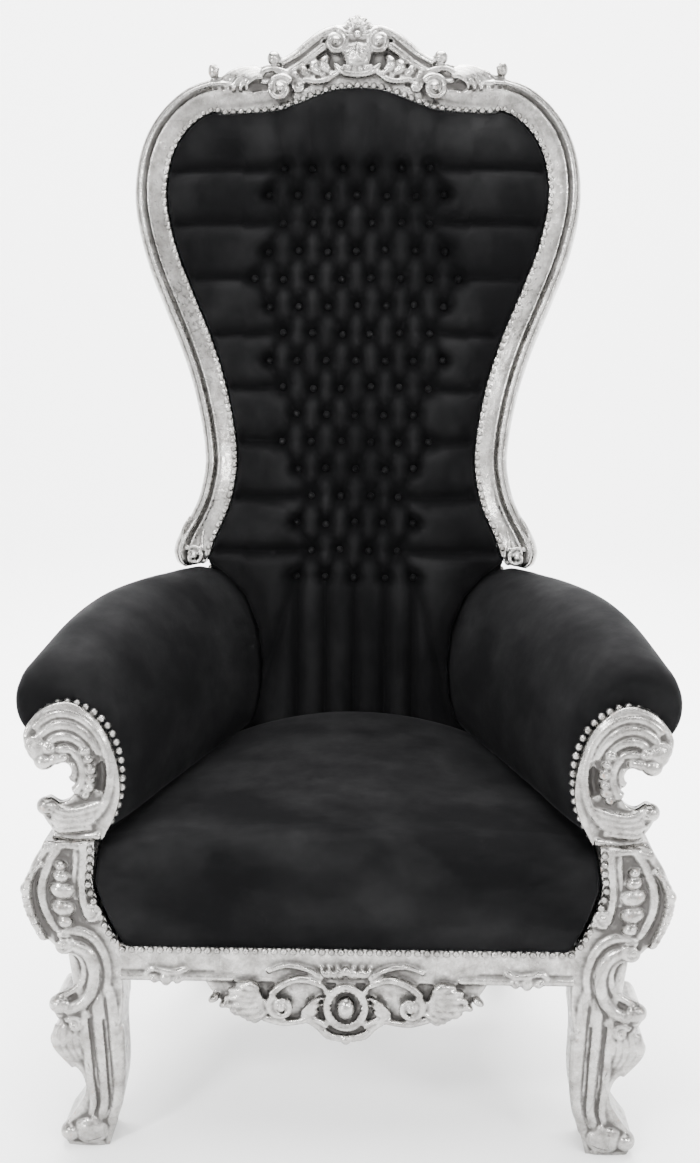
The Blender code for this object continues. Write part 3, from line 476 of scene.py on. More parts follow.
def carve(work, name, voxel=carving["voxel"]):
    strands = bpy.data.objects.new("strands", work.curve)
    bpy.context.scene.collection.objects.link(strands)
    bpy.context.view_layer.update()
    graph = bpy.context.evaluated_depsgraph_get()
    made = bpy.data.meshes.new_from_object(strands.evaluated_get(graph))
    work.mesh.from_mesh(made)
    bpy.data.objects.remove(strands)
    bmesh.ops.recalc_face_normals(work.mesh, faces=work.mesh.faces)
    block = bpy.data.objects.new("block", bpy.data.meshes.new("block"))
    work.mesh.to_mesh(block.data)
    work.mesh.free()
    bpy.context.scene.collection.objects.link(block)
    fuse = block.modifiers.new("fuse", "REMESH")
    fuse.mode = "VOXEL"
    fuse.voxel_size = voxel
    soften = block.modifiers.new("soften", "SMOOTH")
    soften.factor = 0.5
    soften.iterations = carving["soften"]
    bpy.context.view_layer.update()
    graph = bpy.context.evaluated_depsgraph_get()
    data = bpy.data.meshes.new_from_object(block.evaluated_get(graph))
    data.name = name
    bpy.data.objects.remove(block)
    places, normals = meshArrays(data)
    sunk = np.zeros(len(places))
    for path, width, depth in work.cuts:
        line = np.array([tuple(point) for point in path])
        near = np.where((places >= line.min(0) - width * 2).all(1)
                        & (places <= line.max(0) + width * 2).all(1))[0]
        best = np.full(len(near), 1e9)
        for first, second in zip(line, line[1:]):
            best = np.minimum(best, toLine(places[near], first, second)[0])
        sunk[near] = np.maximum(sunk[near], depth * np.clip(1 - (best / (width * 2)) ** 2, 0, 1) ** 2)
    setPlaces(data, places - normals * sunk[:, None])
    return data


def trimmed(data, cuts, keepLargest=True):
    # cut flat where the piece meets another, and drop crumbs
    mesh = bmesh.new()
    mesh.from_mesh(data)
    for place, outward in cuts:
        geometry = list(mesh.verts) + list(mesh.edges) + list(mesh.faces)
        found = bmesh.ops.bisect_plane(mesh, geom=geometry, dist=carving["weld"], plane_co=place,
                                       plane_no=outward, clear_outer=True)["geom_cut"]
        rim = [item for item in found if isinstance(item, bmesh.types.BMEdge)]
        bmesh.ops.holes_fill(mesh, edges=rim, sides=0)
    if keepLargest:
        left = set(mesh.verts)
        islands = []
        while left:
            start = left.pop()
            island = [start]
            edge = [start]
            while edge:
                point = edge.pop()
                for link in point.link_edges:
                    other = link.other_vert(point)
                    if other in left:
                        left.discard(other)
                        island.append(other)
                        edge.append(other)
            islands.append(island)
        islands.sort(key=len)
        for island in islands[:-1]:
            bmesh.ops.delete(mesh, geom=island, context="VERTS")
    mesh.to_mesh(data)
    mesh.free()
    data.shade_smooth()


def wholeFromHalf(data, name):
    # the half at +X and its mirror image, welded along the middle
    mesh = bmesh.new()
    mesh.from_mesh(data)
    geometry = list(mesh.verts) + list(mesh.edges) + list(mesh.faces)
    bmesh.ops.bisect_plane(mesh, geom=geometry, dist=carving["weld"], plane_co=(0, 0, 0),
                           plane_no=(-1, 0, 0), clear_outer=True)
    for vert in mesh.verts:
        if abs(vert.co.x) < 0.0001:
            vert.co.x = 0
    bmesh.ops.mirror(mesh, geom=list(mesh.verts) + list(mesh.edges) + list(mesh.faces),
                     matrix=Matrix.Identity(4), merge_dist=carving["weld"], axis="X")
    bmesh.ops.recalc_face_normals(mesh, faces=mesh.faces)
    mesh.to_mesh(data)
    mesh.free()
    data.name = name
    data.shade_smooth()


def carvedFace(left, bottom, wide, high, faceY, forward=None):
    # places on a carved face by shares of its width and height; rise brings a point forward
    def at(out, up):
        return (left + out * wide, bottom + up * high)

    def spot(out, up, rise=0.0):
        x, z = at(out, up)
        return (x, (faceY - forward(out) if forward else faceY) - rise, z)

    def line(*points):
        return [spot(*point) for point in points]

    return at, spot, line


# Front legs

leg = {
    "width": 0.146,
    "thick": 0.074,
    "seatEdge": [(0.0, 0.0), (0.18, 0.11), (0.38, 0.2), (0.6, 0.27), (0.8, 0.235), (1.0, 0.23)],
    "beadEdge": 17,
}


def legInnerEdge(z):
    # x of the leg's edge beside the seat cushion, by height
    share = min(max((z - body["railTop"]) / (legHigh.z - body["railTop"]), 0), 1)
    for (low, inward), (high, outward) in zip(leg["seatEdge"], leg["seatEdge"][1:]):
        if share <= high:
            return legLow.x + leg["width"] * mix(inward, outward, (share - low) / (high - low))
    return legLow.x + leg["width"] * leg["seatEdge"][-1][1]


def frontLeg():
    height = legHigh.z
    front = body["legBackY"] - leg["thick"]
    at, spot, line = carvedFace(legLow.x, 0.0, leg["width"], height, front + carving["face"])
    outer = [at(0.59, -0.03), at(0.68, 0.02), at(0.69, 0.06), at(0.57, 0.11), at(0.44, 0.18),
             at(0.49, 0.25), at(0.73, 0.32), at(0.79, 0.365), at(0.68, 0.415), at(0.75, 0.46),
             at(0.68, 0.505), at(0.56, 0.518), at(0.42, 0.56), at(0.38, 0.59), at(0.43, 0.625),
             at(0.56, 0.645), at(0.7, 0.67), at(0.84, 0.725), at(0.95, 0.79), at(0.985, 0.855),
             at(0.9, 0.915), at(0.82, 0.955), at(0.7, 1.03)]
    inner = [(legInnerEdge(z), z) for z in (mix(height * 1.03, body["railTop"], k / 12) for k in range(13))]
    below = [at(-0.03, 0.62), at(-0.03, 0.52), at(0.03, 0.4), at(0.03, 0.23), at(0.1, 0.11), at(0.19, 0.02),
             at(0.21, -0.03)]
    work = Carving()
    work.slab(smoothLine(outer, 5) + inner + smoothLine(below, 5), front + carving["ground"],
              body["legBackY"] + carving["spare"])

    # shin: a full rounded front in three broad flutes that run down into the foot's scroll
    for shift, thick, sink in ((0.01, 0.0125, 0.004), (0.155, 0.015, 0.004), (0.305, 0.0135, 0.004)):
        work.rib(line((0.19 + shift, 0.63, -sink - 0.014), (0.13 + shift, 0.53, -sink - 0.003),
                      (0.1 + shift, 0.45, -sink), (0.09 + shift, 0.36, -sink),
                      (0.075 + shift * 0.95, 0.24, -sink), (0.1 + shift * 0.8, 0.145, -sink),
                      (0.2 + shift * 0.7, 0.075, -sink - 0.002)), thick, thick * 0.72)
    work.rib(line((0.06, 0.4, -0.003), (0.05, 0.3, -0.004), (0.075, 0.18, -0.004), (0.17, 0.07, -0.003)),
             0.0085, 0.007)
    work.lobe(spot(0.075, 0.405, -0.001), (0.0065, 0.0105, 0.0165), 0.15)
    for shift in (0.085, 0.235):
        work.groove(line((0.12 + shift, 0.43, 0.006), (0.1 + shift, 0.34, 0.006),
                         (0.09 + shift, 0.23, 0.006), (0.115 + shift * 0.8, 0.145, 0.004),
                         (0.21 + shift * 0.7, 0.09, 0.002)), 0.0018, 0.0034)

    # foot: a scroll on the instep, a toe and a worn sole edge
    work.lobe(spot(0.4, 0.052, -0.004), (0.031, 0.018, 0.026))
    work.volute(spot(0.43, 0.07, 0.004), 0.0165, 1.25, math.radians(120), 0.0052, 1)
    work.lobe(spot(0.615, 0.045, -0.002), (0.0165, 0.017, 0.0155))
    work.rib(line((0.27, 0.012, -0.004), (0.44, 0.004, -0.004), (0.62, 0.012, -0.004)), 0.01, 0.009)
    work.groove(line((0.25, 0.034, 0.01), (0.42, 0.02, 0.012), (0.56, 0.022, 0.01)), 0.0018, 0.0035)

    # knee: smooth fluted bulge that leans out over the ankle, under a small volute
    for k in range(5):
        lean = 0.4 + 0.07 * k
        work.rib(line((lean + 0.0, 0.425 - 0.006 * k, -0.004), (lean + 0.035, 0.375 - 0.004 * k, -0.001),
                      (lean + 0.015, 0.325, -0.003), (lean - 0.055 - 0.018 * k, 0.262, -0.006)), 0.009,
                 0.006, swell=0.002)
        work.groove(line((lean + 0.037, 0.425 - 0.006 * k, 0.01), (lean + 0.07, 0.375 - 0.004 * k, 0.012),
                         (lean + 0.05, 0.325, 0.01), (lean - 0.03 - 0.018 * k, 0.262, 0.006)), 0.0012,
                    0.0026)
    work.volute(spot(0.515, 0.415, 0.005), 0.0125, 1.2, math.radians(20), 0.0046, 1)
    work.rib(line((0.38, 0.425), (0.54, 0.452, 0.001), (0.7, 0.436)), 0.0055, 0.005)

    # open C-scroll beside the rail: a broad band between two rims, a ball above, a ribbed lobe below
    band = line((0.6, 0.678, 0.001), (0.47, 0.672), (0.335, 0.642, -0.001), (0.275, 0.588, -0.001),
                (0.31, 0.53, -0.001), (0.43, 0.482), (0.6, 0.462, 0.001))
    work.rib(band, 0.0115, 0.0125)
    work.rib(line((0.52, 0.66, 0.001), (0.42, 0.632), (0.385, 0.588, -0.001), (0.43, 0.545),
                  (0.55, 0.517, 0.001), (0.68, 0.5, 0.001)), 0.0055, 0.006)
    work.rib(line((0.64, 0.705), (0.48, 0.722), (0.28, 0.695, -0.001), (0.155, 0.62, -0.003),
                  (0.17, 0.53, -0.003), (0.29, 0.455, -0.003), (0.42, 0.44)), 0.0095, 0.0075)
    work.groove(line((0.6, 0.7, 0.01), (0.46, 0.699, 0.01), (0.29, 0.668, 0.01), (0.205, 0.6, 0.008),
                     (0.235, 0.525, 0.008), (0.37, 0.462, 0.008)), 0.0016, 0.003)
    work.volute(spot(0.59, 0.676, 0.006), 0.0155, 1.25, math.radians(80), 0.0052, 1)
    work.lobe(spot(0.655, 0.478, 0.001), (0.0185, 0.015, 0.0155))
    for k in range(4):
        work.groove(line((0.47 + 0.066 * k, 0.507, 0.014), (0.515 + 0.062 * k, 0.478, 0.017),
                         (0.5 + 0.06 * k, 0.452, 0.014)), 0.0015, 0.0028)

    # support under the arm: a ribbon that ends in a volute
    ribbon = line((0.33, 1.02), (0.335, 0.95, 0.001), (0.365, 0.88, 0.001), (0.365, 0.82, 0.001),
                  (0.325, 0.765, 0.001))
    work.rib(ribbon, 0.0088, 0.007)
    work.rib([(x + 0.0125, y + 0.001, z) for x, y, z in ribbon[:-1]], 0.0062, 0.0052)
    work.volute(spot(0.275, 0.785, 0.004), 0.0145, 1.25, math.radians(-60), 0.0052, -1)
    for up, size in ((0.932, 0.0115), (0.898, 0.015), (0.852, 0.0215), (0.797, 0.0205), (0.752, 0.0145)):
        work.lobe(spot(0.575 - 0.02 * (up < 0.78), up, -0.001), (size, 0.0175, size * 0.78), -0.3)
    work.rib(line((0.57, 1.0, -0.001), (0.7, 0.935), (0.79, 0.86), (0.77, 0.79, -0.001),
                  (0.66, 0.728, -0.002), (0.45, 0.7, -0.002)), 0.0088, 0.008)
    work.groove(line((0.6, 0.965, 0.01), (0.685, 0.915, 0.01), (0.735, 0.855, 0.01), (0.71, 0.79, 0.008),
                     (0.62, 0.745, 0.006)), 0.0016, 0.0034)
    work.rib(line((0.7, 0.985, -0.004), (0.84, 0.92, -0.004), (0.905, 0.855, -0.004), (0.88, 0.775, -0.005),
                  (0.78, 0.715, -0.006)), 0.009, 0.008)
    for k in range(leg["beadEdge"]):
        share = k / (leg["beadEdge"] - 1)
        out = 0.8 + 0.145 * math.sin(math.pi * share ** 0.8)
        work.lobe(spot(out, mix(0.93, 0.7, share), 0.001 + 0.0015 * (k % 2)), (0.0088, 0.012, 0.005),
                  0.6 - 1.1 * share)
    work.lobe(spot(0.95, 0.853, 0.003), (0.0095, 0.011, 0.0098))
    work.rib(line((0.32, 0.985), (0.54, 0.992, 0.001), (0.76, 0.975)), 0.0072, 0.0066)
    work.groove(line((0.3, 0.966, 0.014), (0.54, 0.971, 0.016), (0.76, 0.957, 0.014)), 0.0014, 0.0026)
    data = carve(work, "front_leg_look")
    trimmed(data, [((0, 0, 0), (0, 0, -1)), ((0, 0, height), (0, 0, 1)),
                   ((0, body["legBackY"], 0), (0, 1, 0)),
                   ((legLow.x, 0, 0), (-1, 0, 0))])
    markCavities(data)
    pair("front_leg", data, silverFinish)


# Carved scrolls that face the arms

scroll = {
    "innerX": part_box("arm_scroll_right")[0].x,
    "width": 0.146,
    "height": 0.214,
    "thick": 0.062,
}


def armScroll():
    base = legHigh.z
    front = body["legBackY"] - scroll["thick"]
    at, spot, line = carvedFace(scroll["innerX"], base, scroll["width"], scroll["height"],
                                front + carving["face"])

    def curl(reach, low, high, count=9, rise=0.0):
        # an arc round the scroll's hollow; reach 0 is its inner edge and 1 its outer one
        points = []
        for k in range(count):
            turn = math.radians(mix(low, high, k / (count - 1)))
            points.append(spot(0.545 + mix(0.15, 0.485, reach) * math.cos(turn),
                               0.5 + mix(0.13, 0.455, reach) * math.sin(turn), rise))
        return points

    outline = smoothLine([at(0.28, -0.05), at(0.14, 0.07), at(0.03, 0.24), at(0.0, 0.42), at(0.05, 0.64),
                          at(0.17, 0.83), at(0.36, 0.96), at(0.56, 1.0), at(0.78, 0.94), at(0.94, 0.81),
                          at(0.96, 0.7), at(0.86, 0.58), at(0.74, 0.525), at(0.62, 0.56), at(0.5, 0.54),
                          at(0.43, 0.43), at(0.5, 0.31), at(0.62, 0.27), at(0.74, 0.31), at(0.83, 0.24),
                          at(0.78, 0.14), at(0.71, 0.06), at(0.7, -0.05)], 5, closed=True)
    work = Carving()
    work.slab(outline, front + carving["ground"], body["legBackY"] + carving["spare"])

    # a rim follows the outer curve, and broad leaves nest inside it over the arm's end
    work.rib(curl(0.9, 48, 232, 15, 0.0), 0.0082, 0.007)
    for k, (reach, start, stop, thick) in enumerate(((0.66, 34, 170, 0.0098), (0.4, 40, 150, 0.0088),
                                                     (0.12, 48, 128, 0.0072))):
        path = curl(reach, start, stop, 9, 0.0 + 0.001 * k)
        work.rib(path, thick * 0.8, thick * 0.6, swell=thick * 0.35)
        work.groove(curl(reach + 0.15, start + 6, stop - 6, 9, 0.012), 0.0015, 0.004)
        work.groove(curl(reach - 0.02, start + 22, stop - 26, 7, 0.014), 0.001, 0.002)
    for k in range(7):
        turn = 62 + 15 * k
        work.groove([curl(0.5, turn, turn + 4, 2, 0.013)[0], curl(0.38, turn + 5, turn + 9, 2, 0.014)[0],
                     curl(0.27, turn + 3, turn + 6, 2, 0.013)[0]], 0.0011, 0.0022)

    # rosette and ball where the scroll turns in, with small beads along its lip
    work.lobe(spot(0.8, 0.665), (0.02, 0.014, 0.0215))
    work.volute(spot(0.85, 0.69, 0.005), 0.015, 1.25, math.radians(200), 0.005, -1)
    work.lobe(spot(0.755, 0.58, 0.002), (0.016, 0.0155, 0.0145))
    work.lobe(spot(0.64, 0.6, 0.002), (0.012, 0.013, 0.0105))
    work.lobe(spot(0.7, 0.675, 0.003), (0.0105, 0.012, 0.0105))
    work.lobe(spot(0.565, 0.605, 0.001), (0.01, 0.012, 0.0085))

    # chain of round lobes in the middle band, between smooth bands, and a deep oval hollow beside it
    for k, turn in enumerate((140, 158, 176, 193, 208, 222)):
        size = 0.0098 - 0.0012 * (k % 2)
        angle = math.radians(turn)
        work.lobe(spot(0.545 + 0.262 * math.cos(angle), 0.5 + 0.245 * math.sin(angle), 0.0),
                  (size, 0.012, size * 0.92))
    work.rib(curl(0.1, 120, 245, 9, 0.0), 0.0078, 0.0085)
    work.rib(curl(-0.18, 135, 240, 9, 0.0), 0.005, 0.0055)
    work.groove(curl(0.64, 162, 200, 7, 0.002), 0.0042, 0.0085)
    work.groove(curl(0.8, 150, 226, 7, 0.01), 0.0013, 0.0028)
    work.groove(curl(-0.04, 130, 235, 9, 0.01), 0.0012, 0.003)

    # leaf fan at the lower tip, and the collar above the leg
    for k in range(4):
        work.rib(line((0.2 + 0.04 * k, 0.26 - 0.055 * k, -0.002), (0.42, 0.215 - 0.04 * k, 0.001),
                      (0.6, 0.215 - 0.045 * k, 0.001), (0.745 - 0.02 * k, 0.285 - 0.062 * k)), 0.0085,
                 0.008, swell=0.002)
        work.groove(line((0.28 + 0.04 * k, 0.205 - 0.05 * k, 0.01), (0.44, 0.18 - 0.04 * k, 0.014),
                         (0.6, 0.185 - 0.045 * k, 0.014), (0.72 - 0.02 * k, 0.235 - 0.062 * k, 0.012)),
                    0.0012, 0.0034)
    work.lobe(spot(0.76, 0.245, 0.001), (0.015, 0.014, 0.0145))
    work.groove(line((0.7, 0.29, 0.014), (0.755, 0.245, 0.018), (0.735, 0.19, 0.014)), 0.0012, 0.0022)
    work.rib(line((0.22, 0.03), (0.46, 0.012, 0.001), (0.7, 0.04)), 0.0075, 0.007)
    data = carve(work, "arm_scroll_look")
    trimmed(data, [((0, 0, base + 0.0003), (0, 0, -1)),
                   ((0, body["legBackY"] - arms["wrap"], 0), (0, 1, 0))])
    markCavities(data)
    pair("arm_scroll", data, silverFinish)


# Front rail and its cartouche

rail = {
    "frontY": body["legBackY"] - 0.072,
    "thick": 0.036,
    "height": 0.056,
    "drop": railHigh.z - railLow.z,
    "halfWide": 0.215,
    "apronFront": 0.004,
    "apronRear": 0.006,
    "rise": 0.016,
    "ringBeads": 22,
}


def frontRail():
    half = railHigh.x
    top = railHigh.z
    low = top - rail["height"]
    back = rail["frontY"] + rail["thick"]

    at, spot, line = carvedFace(0.0, top, rail["halfWide"], -rail["drop"], rail["frontY"])
    over, above = half + carving["spare"], top + carving["spare"]
    work = Carving()
    work.slab([(-0.03, low), (over, low), (over, above), (-0.03, above)], rail["frontY"],
              back + carving["spare"])
    edge = smoothLine([at(-0.12, 0.97), at(0.0, 1.0), at(0.14, 0.97), at(0.22, 0.86), at(0.33, 0.78),
                       at(0.45, 0.8), at(0.6, 0.745), at(0.78, 0.66), at(0.92, 0.52), at(1.0, 0.36)], 5)
    work.slab([(point.x, point.y) for point in edge] + [at(1.0, 0.1), at(-0.12, 0.1)],
              rail["frontY"] + rail["apronFront"], back - rail["apronRear"])

    # the band is plain, with a rounded lower edge
    work.rib([(0.17, rail["frontY"] + 0.004, low + 0.006), (over, rail["frontY"] + 0.004, low + 0.006)],
             0.0075, 0.0075)
    work.groove([(0.2, rail["frontY"], low + 0.0165), (half, rail["frontY"], low + 0.0165)], 0.0013, 0.0016)

    # oval boss inside a beaded ring, between two crescents
    work.lobe(spot(0, 0.6, 0.002), (0.0145, rail["rise"], 0.0185))
    for k in range(rail["ringBeads"] // 2 + 2):
        turn = math.radians(-98 + 196 * k / (rail["ringBeads"] // 2 + 1))
        work.bead(spot(0.112 * math.cos(turn), 0.6 - 0.178 * math.sin(turn), 0.004), 0.0031)
    rim = [spot(0.142 * math.cos(math.radians(a)), 0.6 - 0.222 * math.sin(math.radians(a)), 0.003)
           for a in range(-110, 111, 11)]
    work.rib(rim, 0.0048, 0.0048, steps=1)
    for down, size in ((0.215, 0.0085), (0.935, 0.0085)):
        work.bead(spot(0, down, 0.003), size)
    work.rib(line((-0.06, 0.9, 0.003), (0.07, 0.905, 0.003), (0.16, 0.845, 0.003)), 0.0042, 0.0035)
    for k in range(3):
        work.leaf(line((0.02 + 0.035 * k, 0.3), (0.05 + 0.05 * k, 0.235, 0.006), (0.06 + 0.06 * k, 0.17)),
                  0.005, 0.001, 1)

    # scrolls sweep out of the ring, and roll into volutes with their own eyes
    work.rib(line((0.13, 0.44, 0.003), (0.2, 0.34, 0.005), (0.32, 0.3, 0.005), (0.44, 0.36, 0.004),
                  (0.53, 0.47, 0.003)), 0.0055, 0.007)
    work.rib(line((0.16, 0.3, 0.002), (0.28, 0.2, 0.003), (0.42, 0.17, 0.003), (0.55, 0.24, 0.001)), 0.0048,
             0.0035)
    work.volute(spot(0.455, 0.585, 0.005), 0.0205, 1.35, math.radians(60), 0.0062, -1)
    work.rib(line((0.13, 0.8, 0.003), (0.22, 0.72, 0.005), (0.33, 0.745, 0.004), (0.45, 0.765, 0.003),
                  (0.58, 0.72, 0.002)), 0.0048, 0.006)
    for k in range(3):
        work.leaf(line((0.17 + 0.01 * k, 0.5 + 0.07 * k), (0.24, 0.55 + 0.05 * k, 0.007),
                       (0.32, 0.66 + 0.03 * k, 0.001)), 0.0055, 0.0012, 1)
    work.groove(line((0.17, 0.4, 0.004), (0.26, 0.42, 0.004), (0.33, 0.5, 0.004)), 0.0042, 0.006)

    # acanthus fingers turn up and out beyond the volutes
    for k in range(6):
        turn = math.radians(-66 + 21 * k)
        reach = 0.33 - 0.014 * k
        start = spot(0.55 + 0.012 * k, 0.63 - 0.035 * k, 0.002)
        middle = spot(0.55 + reach * 0.55 * math.cos(turn), 0.53 - reach * 0.65 * math.sin(turn) - 0.06,
                      0.008)
        tip = spot(0.57 + reach * math.cos(turn), 0.52 - reach * 0.8 * math.sin(turn) - 0.02, 0.003)
        work.leaf([start, middle, tip], 0.009, 0.0016, 2)
    for k in range(5):
        work.lobe(spot(0.63 + 0.075 * k, 0.73 - 0.052 * k, 0.001), (0.0105, 0.01, 0.006), 0.55)

    # a small leaf cluster under the band near each leg
    for shift, size, turn in ((0.0, 0.0095, -0.6), (0.019, 0.0125, 0.1), (0.037, 0.0085, 0.7)):
        work.lobe((0.254 + shift, rail["frontY"] + 0.001, low + 0.004), (size * 0.75, 0.009, size), turn)
        work.groove([(0.254 + shift, rail["frontY"] - 0.008, low + 0.015),
                     (0.255 + shift, rail["frontY"] - 0.009, low + 0.004),
                     (0.254 + shift, rail["frontY"] - 0.007, low - 0.006)], 0.0011, 0.0022)
    work.rib([(0.24, rail["frontY"], low + 0.02), (0.262, rail["frontY"] - 0.002, low + 0.015),
              (0.292, rail["frontY"] - 0.001, low + 0.019), (0.304, rail["frontY"], low + 0.012)],
             0.0045, 0.0035)
    data = carve(work, "front_rail_look")
    trimmed(data, [((0, 0, top), (0, 0, 1)), ((half, 0, 0), (1, 0, 0)), ((0, back, 0), (0, 1, 0))])
    wholeFromHalf(data, "front_rail_look")
    markCavities(data)
    piece = addPiece("front_rail_look", data, silverFinish)
    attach(piece, "root")
    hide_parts("front_rail")


# The back's moulded frame, in sizes of its own leaning plane

back = {
    "half": 0.3685,
    "height": 0.845,
    "frameWide": 0.058,
    "frameFront": -0.036,
    "frameRear": 0.03,
    "crestHalf": 0.268,
    "crestHigh": 0.165,
    "lobeVoxel": 0.0018,
    "crestFace": 0.018,
    "crestGround": 0.022,
    "crestRear": 0.008,
    "crestForward": 0.009,
    "lobeSizes": (0.62, 0.98, 1.14, 1.14, 1.1, 1.04),
    "profileSteps": 4,
    "pathSteps": 6,
}


def stilePath(steps):
    shares = [(0.79, 0.008), (0.8, 0.034), (0.775, 0.066), (0.735, 0.1), (0.688, 0.148), (0.658, 0.213),
              (0.66, 0.262), (0.68, 0.325), (0.722, 0.405), (0.785, 0.487), (0.863, 0.57), (0.939, 0.655),
              (0.988, 0.738), (1.0, 0.8), (0.982, 0.862), (0.936, 0.914), (0.865, 0.955), (0.78, 0.984),
              (0.69, 0.998)]
    return smoothLine([(out * back["half"], 0, up * back["height"]) for out, up in shares], steps)


def stileSizes(count, steps):
    # the frame swells towards its lobe, and ends in it
    known = list(back["lobeSizes"]) + [1.0] * count
    return [mix(known[int(k * 2 / steps)], known[int(k * 2 / steps) + 1],
                k * 2 / steps % 1) for k in range(count)]


def crestLowerEdge(steps=6):
    drops = [(0.0, 0.086), (0.145, 0.068), (0.27, 0.006), (0.4, -0.078), (0.537, -0.152), (0.8, -0.186),
             (1.0, -0.19)]
    return smoothLine([(out * back["crestHalf"], back["height"] + rise * back["crestHigh"])
                       for out, rise in drops], steps)


def crestJoint(steps=2):
    path = stilePath(steps)
    for point, following in zip(path, path[1:]):
        if following.z > back["height"] / 2 and following.x < back["crestHalf"]:
            return following, (following - point).normalized()


def frameProfile():
    # from the pad outwards: nail strip, broad hollow, groove, ridge, and a cove at the side
    half = back["frameWide"] / 2
    marks = [(-half, 0.012), (-half * 0.82, 0.015), (-half * 0.66, 0.0165), (-half * 0.42, 0.02),
             (-half * 0.12, 0.0245), (half * 0.1, 0.029), (half * 0.17, 0.0262), (half * 0.24, 0.0232),
             (half * 0.31, 0.0285), (half * 0.4, 0.0335), (half * 0.52, 0.0345), (half * 0.62, 0.0315),
             (half * 0.69, 0.0265), (half * 0.76, 0.0268), (half * 0.88, 0.0215), (half * 0.98, 0.011),
             (half * 1.03, -0.004), (half * 0.94, -0.03), (-half * 0.9, -0.03), (-half, -0.02)]
    return [(point.x, point.y) for point in smoothLine([(u, v, 0) for u, v in marks], back["profileSteps"],
                                                       closed=True)]


def gridShell(across, along, placeAt, closeRing, capEnds):
    # a grid laid out by a function of two shares, closed round and at its ends where asked
    mesh = bmesh.new()
    bmesh.ops.create_grid(mesh, x_segments=across, y_segments=along, size=0.5)
    mesh.verts.ensure_lookup_table()
    for vert in mesh.verts:
        vert.co = placeAt(vert.co.x + 0.5, vert.co.y + 0.5)
    if closeRing:
        bmesh.ops.remove_doubles(mesh, verts=mesh.verts, dist=0.00002)
    if capEnds:
        rim = [edge for edge in mesh.edges if edge.is_boundary]
        bmesh.ops.holes_fill(mesh, edges=rim, sides=0)
    return mesh


def sweptShell(profile, path, sizes):
    frames = []
    for k, point in enumerate(path):
        along = (path[min(k + 1, len(path) - 1)] - path[max(k - 1, 0)]).normalized()
        across = along.cross(Vector((0, -1, 0))).normalized()
        frontward = -along.cross(across).normalized()
        frames.append((point, across * sizes[k], frontward * sizes[k]))

    def placeAt(u, v):
        spot = profile[round(u * len(profile)) % len(profile)]
        point, across, frontward = frames[round(v * (len(path) - 1))]
        return point + across * spot[0] + frontward * spot[1]

    return gridShell(len(profile), len(path) - 1, placeAt, True, True)


def backStile():
    steps = back["pathSteps"]
    path = stilePath(steps)
    mesh = sweptShell(frameProfile(), path, stileSizes(len(path), steps))
    data = meshFrom(mesh, "back_stile_look")
    place, along = crestJoint()
    trimmed(data, [(place - along * 0.0003, along)])
    # a comma scroll on the lobe that ends the frame at the bottom
    work = Carving()
    lowest = path[0]
    front = back["frameFront"] + 0.008
    work.volute((lowest.x - 0.002, front, lowest.z + 0.016), 0.017, 1.25, math.radians(60), 0.0052, 1)
    work.rib([(lowest.x + 0.01, front, lowest.z + 0.026), (lowest.x + 0.018, front, lowest.z + 0.046),
              (lowest.x + 0.016, front, lowest.z + 0.066),
              (lowest.x + 0.004, front + 0.001, lowest.z + 0.088)],
             0.0055, 0.0025)
    work.rib([(lowest.x - 0.018, front + 0.004, lowest.z + 0.02),
              (lowest.x - 0.016, front + 0.003, lowest.z + 0.044),
              (lowest.x - 0.02, front + 0.004, lowest.z + 0.066)], 0.0045, 0.0025)
    extra = carve(work, "lobe_scroll", back["lobeVoxel"])
    mesh = bmesh.new()
    mesh.from_mesh(data)
    mesh.from_mesh(extra)
    bmesh.ops.transform(mesh, matrix=backPlace, verts=mesh.verts)
    mesh.to_mesh(data)
    mesh.free()
    markCavities(data)
    pair("back_stile", data, silverFinish, sharp=50)


